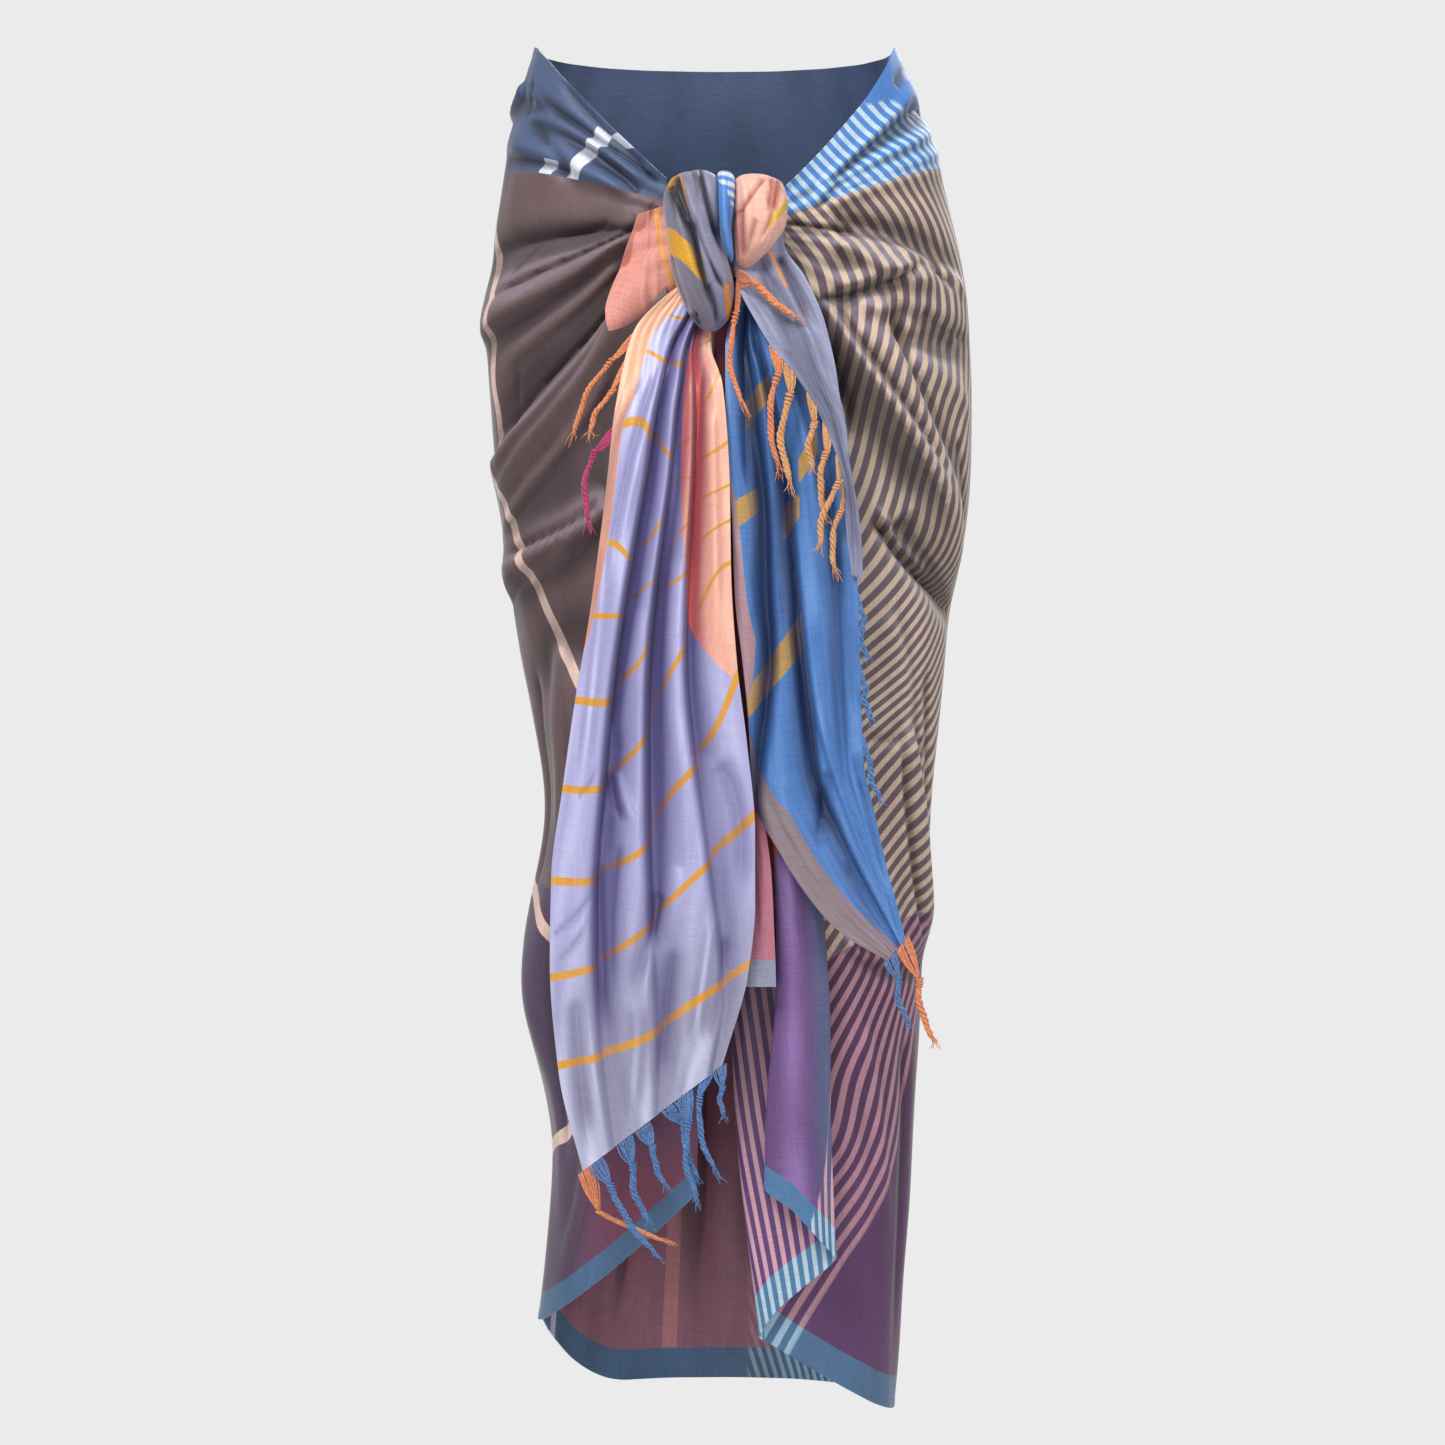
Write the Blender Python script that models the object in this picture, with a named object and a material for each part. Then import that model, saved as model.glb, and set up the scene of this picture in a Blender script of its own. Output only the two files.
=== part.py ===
"""A handwoven cloth wrap worn round the hips and tied in front, kept in its worn, hollow form.

One rectangle of cloth goes round the back of a general figure, and its two upper corners are tied in a
knot below the waist. Its long ends hang from the knot, and their short sides carry twisted tassels.

Millimetres in the tables, turned to metres where a mesh is made. +X is the wearer's left hand side, -Y is
the front, +Z is up. The origin is at the middle of the waist, where the wearer holds the cloth.
"""

import math

import bmesh
import bpy
import numpy as np
from mathutils import Vector
from mathutils.bvhtree import BVHTree

MM = 0.001

# Driving sizes
WALL = 2.0
SEAM = 0.3
CLOTH_HEIGHT = 1015.0
BAND_HEIGHT = 95.0
PLEAT_TOP = 620.0
SECTION_POWER = 2.3
ARC_PER_DEGREE = 2.6
STRIP_WIDTH = 3.0
STRIP_GAP = 0.5

# The knot's hidden core, which every gathered end meets on a flat face
CORE_LEFT, CORE_RIGHT = -39.7, 44.7
CORE_BOTTOM, CORE_TOP = -140.0, -78.0
CORE_FRONT, CORE_BACK = -141.0, -106.0
CORE_BEVEL = 9.0

SLATE = (0.13, 0.18, 0.30)
BLUE = (0.14, 0.31, 0.62)
MAUVE = (0.16, 0.10, 0.11)
PLUM = (0.13, 0.06, 0.13)
GREY_LILAC = (0.32, 0.32, 0.45)
LAVENDER = (0.42, 0.42, 0.72)
SALMON = (0.85, 0.42, 0.33)
ORANGE = (0.85, 0.33, 0.10)
PINK = (0.55, 0.20, 0.27)


def table(columns, *rows):
    """A short table: one array for each named column."""
    return dict(zip(columns.split(), np.array(rows, float).T))


# Rings of the worn form: half widths to each side, and depths to the front and back, at each height
RING = table(
    "z left right front back",
    (45, 140, 129, 94, 94),
    (0, 153, 149, 105, 105),
    (-70, 166, 168, 116, 122),
    (-160, 177, 184, 121, 136),
    (-260, 170, 186, 122, 140),
    (-400, 152, 168, 121, 133),
    (-520, 133, 156, 118, 124),
    (-640, 149, 149, 114, 118),
    (-780, 127, 142, 110, 114),
    (-970, 146, 128, 106, 112),
)

# Height reached at each side, at the back and at the front edges, by the distance down the cloth
FLOW = table(
    "cloth left_side left_front right_side right_front back",
    (0, 45, -68, 45, -74, 45),
    (95, -50, -84, -48, -95, -50),
    (200, -155, -112, -152, -118, -155),
    (320, -272, -150, -270, -150, -275),
    (520, -462, -335, -470, -335, -478),
    (720, -648, -545, -675, -560, -682),
    (1015, -905, -800, -970, -905, -970),
)

# Where the two front panels end in front, across the figure
EDGE = table(
    "cloth left right",
    (0, -40, 45),
    (320, -40, 45),
    (430, -15, 10),
    (720, -12, 8),
    (870, -15, 13),
    (1015, -19, 30),
)

FOLD_COLUMNS = "angle_1 z_1 angle_2 z_2 angle_3 z_3 height left right narrow"

# Folds that run from the knot round each hip: three points on the way, the height, and the breadth to
# each side of the way that the fold runs. Narrow is the share of that breadth at its start.
FOLDS = table(
    FOLD_COLUMNS,
    # left hip, outwards from the knot
    (-16, -100, -40, -112, -100, -118, -7, 16, 16, 0.4),
    (-16, -92, -45, -150, -98, -172, 11, 9, 28, 0.3),
    (-16, -120, -42, -200, -90, -250, -9, 14, 26, 0.4),
    (-18, -135, -45, -232, -98, -288, 12, 28, 10, 0.4),
    (-24, -300, -50, -338, -100, -362, 11, 12, 26, 0.5),
    (-20, -420, -50, -400, -80, -470, -6, 26, 26, 1.0),
    # left shin, where the cloth swings out
    (-42, -560, -62, -620, -78, -740, 6, 30, 34, 1.0),
    # waist, left and right
    (-20, -72, -50, -22, -92, 8, -5, 9, 9, 0.4),
    (-20, -78, -50, -45, -95, -24, 5, 10, 12, 0.4),
    (22, -80, 50, -28, 92, -2, -5, 9, 9, 0.4),
    (22, -88, 50, -58, 95, -30, 5, 10, 12, 0.4),
    # right hip, outwards from the knot
    (24, -104, 45, -103, 80, -130, -6, 13, 13, 0.7),
    (24, -112, 38, -130, 62, -138, 9, 13, 9, 0.5),
    (26, -150, 42, -178, 88, -188, -6, 12, 14, 0.5),
    (34, -150, 48, -235, 86, -360, 13, 11, 34, 0.5),
    (42, -310, 58, -350, 96, -385, -10, 16, 16, 0.6),
    # right thigh and shin
    (52, -460, 72, -560, 90, -640, 8, 8, 30, 0.8),
    (36, -618, 60, -640, 88, -630, -5, 12, 12, 0.8),
    # the back: drag lines below the waist, and long soft falls from the hips
    (112, -60, 160, -112, 236, -78, -5, 14, 18, 0.8),
    (106, -150, 150, -208, 205, -190, 5, 16, 26, 0.8),
    (252, -140, 215, -215, 168, -232, -5, 20, 18, 0.8),
    (128, -240, 132, -560, 126, -960, -9, 22, 22, 0.7),
    (158, -300, 164, -620, 168, -960, 8, 20, 24, 0.6),
    (192, -260, 190, -600, 186, -960, -10, 22, 20, 0.6),
    (222, -300, 226, -620, 232, -960, 8, 22, 22, 0.6),
)

# The front pleat in plan: breadths as a share from its left fold to its right fold, and how far it
# stands out in front of the panel that it folds from
PLEAT_PATH = table(
    "along across out",
    (0.00, 0.06, 0.0),
    (0.07, 0.00, 3.5),
    (0.15, 0.07, 7.5),
    (0.46, 0.95, 8.5),
    (0.53, 1.00, 12.0),
    (0.61, 0.94, 15.5),
    (0.80, 0.50, 23.0),
    (0.95, 0.05, 20.0),
    (1.00, 0.04, 15.5),
)
SECOND_FOLD = 0.53
# Where the pleat's wall has its columns: close together at its two folds
FIRST_FOLD_SHARES = (0, 0.035, 0.07, 0.11, 0.15, 0.25, 0.36)
SECOND_FOLD_SHARES = (0.46, 0.495, 0.53, 0.57, 0.61, 0.7, 0.8, 0.88, 0.95, 1)
PLEAT = table(
    "cloth breadth left_share lift_right lift_left",
    (620, 52, 0.55, 0, 0),
    (820, 70, 0.45, 20, 38),
    (1015, 55, 0.03, 60, 112),
)

TAIL_COLUMNS = "left_x left_z right_x right_z depth"
TAIL_LEFT = table(
    TAIL_COLUMNS,
    (-23, -140.3, -5, -140.3, -131),
    (-42, -156, -8, -162, -132),
    (-63, -180, -8, -191, -138),
    (-74, -231, 0, -220, -155),
    (-83, -302, 5, -288, -164),
    (-92, -373, 6, -352, -167),
    (-104, -444, 10, -415, -167),
    (-113, -507, 17, -472, -166),
    (-121, -569, 23, -536, -164),
    (-122, -631, 23, -589, -162),
    (-116, -706, 18, -638, -160),
    (-99, -777, 0, -702, -158),
)
TAIL_RIGHT = table(
    TAIL_COLUMNS,
    (16, -140.3, 34, -140.3, -131),
    (8, -166, 42, -164, -134),
    (2, -195, 55, -185, -145),
    (2, -252, 80, -231, -153),
    (7, -316, 92, -287, -156),
    (9, -372, 95, -344, -157),
    (14, -415, 97, -401, -157),
    (18, -454, 98, -443, -157),
    (21, -507, 100, -486, -156),
    (43, -556, 108, -525, -154),
    (81, -606, 118, -568, -150),
    (117, -629, 130, -614, -146),
)
FLAP_GREY = table(
    TAIL_COLUMNS,
    (22, -100, 40, -100, -142.5),
    (19, -132, 44, -122, -142.5),
    (21, -153, 58, -142, -147),
    (25, -178, 72, -175, -160),
    (36, -196, 79, -206, -165),
    (50, -212, 83, -230, -166),
    (63, -232, 87, -249, -166),
    (76, -258, 89, -274, -165),
    (84, -286, 93, -295, -164),
    (87, -316, 97, -320, -163),
    (91, -355, 99, -358, -161),
)
INNER_END = table(
    TAIL_COLUMNS,
    (-3.5, -140.3, 14.5, -140.3, -125.5),
    (-8, -243, 16, -243, -131),
    (-10, -372, 20, -372, -141),
    (-11, -486, 24, -486, -147),
    (-13, -572, 35, -572, -149),
    (-16, -647, 38, -647, -150),
)
FLAP_SALMON = table(
    TAIL_COLUMNS,
    (-58, -94, -44, -92, 0),
    (-71, -124, -44, -120, 0),
    (-84, -164, -43, -152, 0),
    (-80, -184, -46, -172, 0),
    (-74, -198, -58, -190, 0),
)

# Troughs in a hanging end: their share across it at the top, the middle and the foot, and their depths
TROUGH_COLUMNS = "top middle foot depth_top depth_middle depth_foot breadth"
TROUGHS_LEFT = table(
    TROUGH_COLUMNS,
    (0.75, 0.25, 0.23, 4, 12, 2, 0.060),
    (0.90, 0.47, 0.55, 4, 13, 2, 0.060),
    (0.85, 0.70, 0.93, 3, 9, 2, 0.050),
)
TROUGHS_RIGHT = table(
    TROUGH_COLUMNS,
    (0.28, 0.25, -0.40, 3, 9, 0, 0.065),
    (0.55, 0.59, 0.60, 3, 11, 2, 0.065),
    (0.80, 0.82, 0.85, 2, 5, 0, 0.060),
)
TROUGHS_GREY = table(TROUGH_COLUMNS, (0.45, 0.55, 0.6, 0, 3, 0, 0.2))
TROUGHS_INNER = table(TROUGH_COLUMNS, (0.5, 0.4, 0.4, 1, 3, 0, 0.2))

# The knot's lobes by height: their sides across the figure and how far they stand forward
KNOT_LOOP = table(
    "z left right proud",
    (-66, -27, -8, 12),
    (-73, -38, -6, 22),
    (-89, -42, -4.5, 33),
    (-110, -40, -3.5, 38),
    (-132, -37, 3, 38),
    (-152, -31, 8, 34),
    (-168, -24, 6, 25),
    (-181, -17, 0, 12),
)
KNOT_SLIVER = table(
    "z left right proud",
    (-67, -5, 7, 10),
    (-76, -3.5, 8, 18),
    (-90, -2.5, 7.5, 24),
    (-110, -1.5, 6.5, 23),
    (-130, 4, 8, 16),
)
KNOT_LOBE = table(
    "z left right proud",
    (-69, 9.5, 34, 8),
    (-76, 9.5, 43, 17),
    (-90, 9.5, 46, 24),
    (-104, 9.5, 45, 25),
    (-118, 10, 37, 20),
    (-129, 11, 27, 12),
    (-136, 13, 20, 5),
)
LOOP_BACK = CORE_FRONT - SEAM
LOBE_BACK = CORE_FRONT - WALL - 5 * SEAM

# Tassels: where each hangs from its strip, as a share of the strip's length, then how far its binding
# knot and its foot lie from that root, in mm. Bulk is the lock's thickness.
TASSEL_COLUMNS = "root knot_x knot_z knot_out foot_x foot_z foot_out bulk"
TASSELS_LEFT_FOOT = table(
    TASSEL_COLUMNS,
    (0.02, 10, -30, 3, 57, -51, 3, 5.0),
    (0.09, 11, -16, 8, 42, -62, 11, 5.0),
    (0.30, 6, -18, 3, 17, -58, 3, 5.0),
    (0.42, 8, -14, 3, 18, -42, 3, 4.5),
    (0.62, 11, -14, 3, 20, -50, 3, 5.0),
    (0.74, 2, -20, 9, 8, -72, 11, 4.5),
    (0.89, -5, -14, 3, 6, -66, 3, 4.5),
    (0.98, 2, -14, 3, 3, -34, 5, 4.0),
)
TASSELS_LEFT_SIDE = table(
    TASSEL_COLUMNS,
    (0.32, -13, -14, 2, -40, -67, 2, 5.0),
    (0.50, -7, -16, 7, -23, -46, 9, 4.5),
    (0.82, -12, -12, 2, -16, -64, 3, 4.5),
)
TASSELS_GREY = table(
    TASSEL_COLUMNS,
    (0.03, 1, -16, 4, 2, -80, 4, 5.0),
    (0.17, 0, -20, 5, 1, -83, 5, 5.5),
    (0.42, 2, -17, 3, 1, -49, 3, 5.0),
    (0.60, -1, -16, 3, -1, -61, 3, 5.0),
    (0.78, 0, -14, 8, -13, -59, 10, 5.0),
    (0.93, -2, -14, 3, -6, -55, 3, 4.5),
)
TASSELS_KNOT = table(
    TASSEL_COLUMNS,
    (0.70, 12, -3, 18, 38, -20, 20, 5.0),
    (0.95, -2, -20, 8, 2, -84, 16, 4.5),
)
TASSELS_RIGHT_SIDE = table(
    TASSEL_COLUMNS,
    (0.08, 4, -13, 2, 6, -41, 2, 4.5),
    (0.35, 4, -11, 2, 8, -34, 2, 4.5),
    (0.66, 5, -12, 2, 12, -38, 2, 4.5),
)
TASSELS_RIGHT_FOOT = table(
    TASSEL_COLUMNS,
    (0.15, 6, -14, 3, 13, -46, 3, 4.5),
    (0.85, 12, -26, 3, 22, -69, 4, 5.0),
)

TAIL_GRID = (24, 18)
LOCK_SIDES = 4
WAY_POINTS = 13
LAID_GAP = 4 * SEAM
LAID_REACH = 6.0


def curve(knots, values, at):
    """A smooth curve through a table's rows that never overshoots them, read at the places given."""
    step = np.diff(knots)
    slope = np.diff(values) / step
    tangent = np.concatenate([slope[:1], np.zeros(len(knots) - 2), slope[-1:]])
    before, after = slope[:-1], slope[1:]
    same_way = before * after > 0
    total = np.where(same_way, before + after, 1)
    tangent[1:-1] = np.where(same_way, 2 * before * after / total, 0)
    at = np.clip(at, knots[0], knots[-1])
    span = np.clip(np.searchsorted(knots, at, side="right") - 1, 0, len(step) - 1)
    size = step[span]
    t = (at - knots[span]) / size
    rise = values[span + 1] - values[span]
    bend = (1 - t) * tangent[span] * size - t * tangent[span + 1] * size + (2 * t - 1) * rise
    return values[span] + t * rise + t * (1 - t) * bend


def read(rows, key, column, at):
    """One column of a table at places along its key column, which may run up or down."""
    order = np.argsort(rows[key])
    return curve(rows[key][order], rows[column][order], np.asarray(at, float))


def smooth_step(t):
    t = np.clip(t, 0, 1)
    return t * t * (3 - 2 * t)


def fold_relief(angle, z):
    """How far the folds lift the cloth off the plain form, at angles in degrees and heights in mm."""
    arc = angle * ARC_PER_DEGREE
    total = np.zeros(np.broadcast(arc, z).shape)
    t = np.linspace(0, 1, WAY_POINTS)
    first, middle, last = (1 - t) * (1 - 2 * t), 4 * t * (1 - t), t * (2 * t - 1)
    for i in range(len(FOLDS["height"])):
        row = {name: column[i] for name, column in FOLDS.items()}
        turns = (row["angle_1"], row["angle_2"], row["angle_3"])
        way_s = ARC_PER_DEGREE * (first * turns[0] + middle * turns[1] + last * turns[2])
        way_z = first * row["z_1"] + middle * row["z_2"] + last * row["z_3"]
        nearest = np.full(total.shape, 1e9)
        side = np.zeros(total.shape)
        along = np.zeros(total.shape)
        for k in range(len(t) - 1):
            ds, dz = way_s[k + 1] - way_s[k], way_z[k + 1] - way_z[k]
            share = ((arc - way_s[k]) * ds + (z - way_z[k]) * dz) / (ds * ds + dz * dz)
            share = np.clip(share, 0, 1)
            off_s = arc - (way_s[k] + share * ds)
            off_z = z - (way_z[k] + share * dz)
            distance = np.hypot(off_s, off_z)
            closer = distance < nearest
            nearest = np.where(closer, distance, nearest)
            side = np.where(closer, ds * off_z - dz * off_s, side)
            along = np.where(closer, (k + share) / (len(t) - 1), along)
        breadth = np.where(side > 0, row["left"], row["right"])
        breadth = breadth * (row["narrow"] + (1 - row["narrow"]) * along)
        fade = smooth_step(along / 0.12 + 0.25) * smooth_step((1 - along) / 0.3)
        total += row["height"] * fade * np.exp(-((nearest / breadth) ** 2))
    return total


def ring_point(angle, z):
    """A point of the worn form with its folds: angle 0 faces front, 90 is the right side, 180 the back."""
    turn = np.radians(angle)
    sine, cosine = np.sin(turn), np.cos(turn)
    power = 2 / SECTION_POWER
    across = np.where(sine < 0, read(RING, "z", "left", z), read(RING, "z", "right", z))
    deep = np.where(cosine > 0, read(RING, "z", "front", z), read(RING, "z", "back", z))
    x = across * np.sign(sine) * np.abs(sine) ** power
    y = -deep * np.sign(cosine) * np.abs(cosine) ** power
    out_x, out_y = sine * deep, -cosine * across
    size = np.hypot(out_x, out_y)
    lift = fold_relief(angle, z)
    return np.stack([x + lift * out_x / size, y + lift * out_y / size, z], axis=-1)


def front_point(side, u, cloth):
    """A front panel: u runs from the hip at 0 to the edge in front at 1, cloth is the way down it."""
    sign = -1 if side == "left" else 1
    low = read(FLOW, "cloth", side + "_front", cloth)
    edge = read(EDGE, "cloth", side, cloth)
    share = np.abs(edge) / read(RING, "z", side, low)
    # An edge can pass the middle, so the last angle keeps the edge's own sign.
    last = np.degrees(np.arcsin(np.sign(edge) * share ** (SECTION_POWER / 2)))
    angle = sign * 90 * (1 - u) + last * u
    reach = np.abs(np.sin(np.radians(angle))) ** (2 / SECTION_POWER)
    forward = np.clip((1 - reach) / (1 - share), 0, 1)
    high = read(FLOW, "cloth", side + "_side", cloth)
    return ring_point(angle, high * (1 - forward) + low * forward)


def back_point(u, cloth):
    """The back: u runs from the right hip at 0 round to the left hip at 1."""
    angle = 90 + 180 * u
    to_right = 1 - smooth_step(u / 0.35)
    to_left = 1 - smooth_step((1 - u) / 0.35)
    z = (
        read(FLOW, "cloth", "right_side", cloth) * to_right
        + read(FLOW, "cloth", "left_side", cloth) * to_left
        + read(FLOW, "cloth", "back", cloth) * (1 - to_right - to_left)
    )
    return ring_point(angle, z)


def pleat_point(u, cloth):
    """The loose end of the right panel, folded in an S in front of it."""
    edge = front_point("right", np.ones_like(u), cloth)
    across = read(PLEAT_PATH, "along", "across", u)
    left_share = read(PLEAT, "cloth", "left_share", cloth)
    returned = smooth_step((u - SECOND_FOLD) / (1 - SECOND_FOLD))
    across = across + returned * left_share * (1 - across)
    out = read(PLEAT_PATH, "along", "out", u)
    breadth = read(PLEAT, "cloth", "breadth", cloth)
    lift_right = read(PLEAT, "cloth", "lift_right", cloth)
    lift_left = read(PLEAT, "cloth", "lift_left", cloth)
    lift = lift_right * smooth_step(u / SECOND_FOLD) + (lift_left - lift_right) * returned
    joined = edge[..., 0] - SEAM
    x = joined + (across - PLEAT_PATH["across"][0]) * breadth
    return np.stack([x, edge[..., 1] - out, edge[..., 2] + lift], axis=-1)


def hanging_point(rows, troughs, u, v):
    """A hanging end: u goes across it from left to right, v down it, both from 0 to 1."""
    steps = np.linspace(0, 1, len(rows["depth"]))
    left = np.stack([curve(steps, rows[name], v) for name in ("left_x", "left_z")], axis=-1)
    right = np.stack([curve(steps, rows[name], v) for name in ("right_x", "right_z")], axis=-1)
    flat = left + (right - left) * u[..., None]
    depth = curve(steps, rows["depth"], v)
    thirds = np.array([0.0, 0.5, 1.0])
    for i in range(len(troughs["top"])):
        row = {name: column[i] for name, column in troughs.items()}
        centre = curve(thirds, np.array([row["top"], row["middle"], row["foot"]]), v)
        sink = curve(thirds, np.array([row["depth_top"], row["depth_middle"], row["depth_foot"]]), v)
        depth = depth + sink * np.exp(-(((u - centre) / row["breadth"]) ** 2))
    return np.stack([flat[..., 0], depth, flat[..., 1]], axis=-1)


def surface_normals(surface, u, v):
    """Unit normals of a surface function, from small steps along its two directions."""
    step = 1e-3
    along_u = surface(u + step, v) - surface(u - step, v)
    along_v = surface(u, v + step) - surface(u, v - step)
    normal = np.cross(along_u, along_v)
    return normal / np.linalg.norm(normal, axis=-1, keepdims=True)


def wall_faces(outer, inner):
    """The two faces and the four rims of a wall between two grids of points, as one closed mesh."""
    rows, columns = outer.shape[:2]
    points = np.concatenate([outer.reshape(-1, 3), inner.reshape(-1, 3)])
    index = np.arange(rows * columns).reshape(rows, columns)
    back = index + rows * columns
    quads = np.stack([index[:-1, :-1], index[:-1, 1:], index[1:, 1:], index[1:, :-1]], axis=-1)
    faces = [*quads.reshape(-1, 4), *(quads + rows * columns)[..., ::-1].reshape(-1, 4)]
    for edge, under in (
        (index[0], back[0]),
        (index[-1][::-1], back[-1][::-1]),
        (index[:, 0][::-1], back[:, 0][::-1]),
        (index[:, -1], back[:, -1]),
    ):
        faces += list(np.stack([edge[1:], edge[:-1], under[:-1], under[1:]], axis=-1))
    return points, faces


def add_mesh(name, points, faces, colour):
    """One named object, its points in millimetres, with its own woven cloth finish."""
    mesh = bpy.data.meshes.new(name)
    mesh.from_pydata((np.asarray(points) * MM).tolist(), [], [[int(i) for i in face] for face in faces])
    shape = bmesh.new()
    shape.from_mesh(mesh)
    bmesh.ops.recalc_face_normals(shape, faces=shape.faces)
    shape.to_mesh(mesh)
    shape.free()
    mesh.shade_smooth()
    mesh.set_sharp_from_angle(angle=math.radians(50))
    mesh.materials.append(cloth_finish(name, colour))
    piece = bpy.data.objects.new(name, mesh)
    bpy.context.scene.collection.objects.link(piece)
    return piece


def cloth_finish(name, colour):
    """Fine handwoven cotton and silk: matt, with a little lustre."""
    material = bpy.data.materials.new(name)
    material.use_nodes = True
    shader = material.node_tree.nodes["Principled BSDF"]
    shader.inputs["Base Color"].default_value = (*colour, 1)
    shader.inputs["Roughness"].default_value = 0.55
    shader.inputs["Metallic"].default_value = 0
    return material


def wall_grids(surface, u, v):
    """The outer and inner points of a wall on a surface, one grid for each side."""
    middle = surface(u, v)
    normal = surface_normals(surface, u, v)
    return middle + normal * WALL / 2, middle - normal * WALL / 2


def crowded(count, power=1.35):
    """Shares from 0 to 1 that lie closer together towards 1."""
    return 1 - (1 - np.linspace(0, 1, count)) ** power


def clear_scene():
    for item in list(bpy.data.objects):
        bpy.data.objects.remove(item, do_unlink=True)


def part_at_seam(surface, shares, heights, grids):
    """Moves a wall a seam away from where the stretch above or below it also ends, along the cloth."""
    for row, toward in ((0, 1), (-1, -1)):
        if heights[row] in (0.0, CLOTH_HEIGHT):
            continue
        way = surface(shares, heights[row] + 0.5) - surface(shares, heights[row] - 0.5)
        way = way / np.linalg.norm(way, axis=-1, keepdims=True)
        for grid in grids:
            grid[row] += toward * way * SEAM


def build_front(side, colours):
    """The waist stretch and the skirt stretch of one front panel."""
    shares = crowded(17)

    def surface(u, cloth):
        return front_point(side, u, cloth)

    for name, first, last, rows, colour in (
        ("waist_" + side, 0.0, BAND_HEIGHT, 5, colours[0]),
        ("front_" + side, BAND_HEIGHT, CLOTH_HEIGHT, 23, colours[1]),
    ):
        heights = np.linspace(first, last, rows)
        outer, inner = wall_grids(surface, *np.meshgrid(shares, heights))
        part_at_seam(surface, shares, heights, (outer, inner))
        for grid in (outer, inner):
            grid[:, 0, 1] = -SEAM / 2
            grid[:, -1, 0] = read(EDGE, "cloth", side, heights)
        add_mesh(name, *wall_faces(outer, inner), colour)


def build_back():
    shares = np.linspace(0, 1, 25)
    for name, first, last, rows, colour in (
        ("waist_back", 0.0, BAND_HEIGHT, 4, SLATE),
        ("skirt_back", BAND_HEIGHT, CLOTH_HEIGHT, 17, PLUM),
    ):
        heights = np.linspace(first, last, rows)
        outer, inner = wall_grids(back_point, *np.meshgrid(shares, heights))
        part_at_seam(back_point, shares, heights, (outer, inner))
        for grid in (outer, inner):
            grid[:, (0, -1), 1] = SEAM / 2
        add_mesh(name, *wall_faces(outer, inner), colour)


def build_pleat():
    heights = np.linspace(PLEAT_TOP, CLOTH_HEIGHT, 10)
    shares = np.array(FIRST_FOLD_SHARES + SECOND_FOLD_SHARES)
    outer, inner = wall_grids(pleat_point, *np.meshgrid(shares, heights))
    edge = read(EDGE, "cloth", "right", heights)
    for grid in (outer, inner):
        grid[:, 0, 0] = edge - SEAM
    add_mesh("front_pleat", *wall_faces(outer, inner), PLUM)


def end_width(rows, v):
    """How wide a hanging end is, at shares down it."""
    steps = np.linspace(0, 1, len(rows["depth"]))
    across = curve(steps, rows["right_x"] - rows["left_x"], v)
    down = curve(steps, rows["right_z"] - rows["left_z"], v)
    return np.hypot(across, down)


def build_hanging(name, rows, troughs, size, colour, strips=()):
    """A hanging end as a wall, and a strip parted from each edge of it that carries tassels.

    Each strip gives its name, its edge, its first and last row, its tassels and their colour.
    """

    def surface(u, v):
        return hanging_point(rows, troughs, u, v)

    edges = {strip[1] for strip in strips}
    trim = STRIP_WIDTH + STRIP_GAP
    length = (len(rows["depth"]) - 1) * (rows["left_z"][-2] - rows["left_z"][-1])
    down = np.linspace(0, 1 - trim / length if "foot" in edges else 1, size[0])
    width = end_width(rows, down)[:, None]
    left = trim / width if "left" in edges else 0 * width
    right = trim / width if "right" in edges else 0 * width
    u = left + (1 - left - right) * np.linspace(0, 1, size[1])
    v = np.broadcast_to(down[:, None], u.shape)
    outer, inner = wall_grids(surface, u, v)
    for grid in (outer, inner):
        grid[0, :, 2] = rows["left_z"][0]
    add_mesh(name, *wall_faces(outer, inner), colour)
    for strip_name, edge, first, last, tassels, shade in strips:
        if edge == "foot":
            along = np.stack([u[-1], u[-1]])
            strip_v = np.stack([np.full(size[1], 1 - STRIP_WIDTH / length), np.ones(size[1])])
        else:
            strip_v = np.stack([down[first : last + 1]] * 2)
            share = STRIP_WIDTH / end_width(rows, strip_v[0])
            along = np.stack([share, 0 * share] if edge == "left" else [1 - share, 1 + 0 * share])
        build_fringe(strip_name, surface, along, strip_v, tassels, shade)


def lay_on(points, wall):
    """Sets points a gap in front of whatever of a wall stands furthest forward within their reach."""
    tree = BVHTree.FromObject(wall, bpy.context.evaluated_depsgraph_get())
    laid = points.copy()
    around = ((0, 0), (-LAID_REACH, 0), (LAID_REACH, 0), (0, -LAID_REACH), (0, LAID_REACH))
    for row in laid.reshape(-1, 3):
        fronts = []
        for across, up in around:
            start = Vector(((row[0] + across) * MM, -1, (row[2] + up) * MM))
            hit = tree.ray_cast(start, Vector((0, 1, 0)))[0]
            fronts += [hit.y / MM] if hit else []
        row[1] = min(fronts) - LAID_GAP
    return laid


def build_salmon_flap():
    """A fold of the left end that lies on the left panel beside the knot."""
    still = table(TROUGH_COLUMNS, (0.5, 0.5, 0.5, 0, 0, 0, 1))
    u, v = np.meshgrid(np.linspace(0, 1, 6), np.linspace(0, 1, 9))
    flat = hanging_point(FLAP_SALMON, still, u, v)
    inner = lay_on(flat, bpy.data.objects["front_left"])
    outer = inner + np.array([0, -WALL, 0])
    add_mesh("flap_salmon", *wall_faces(outer, inner), SALMON)


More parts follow.
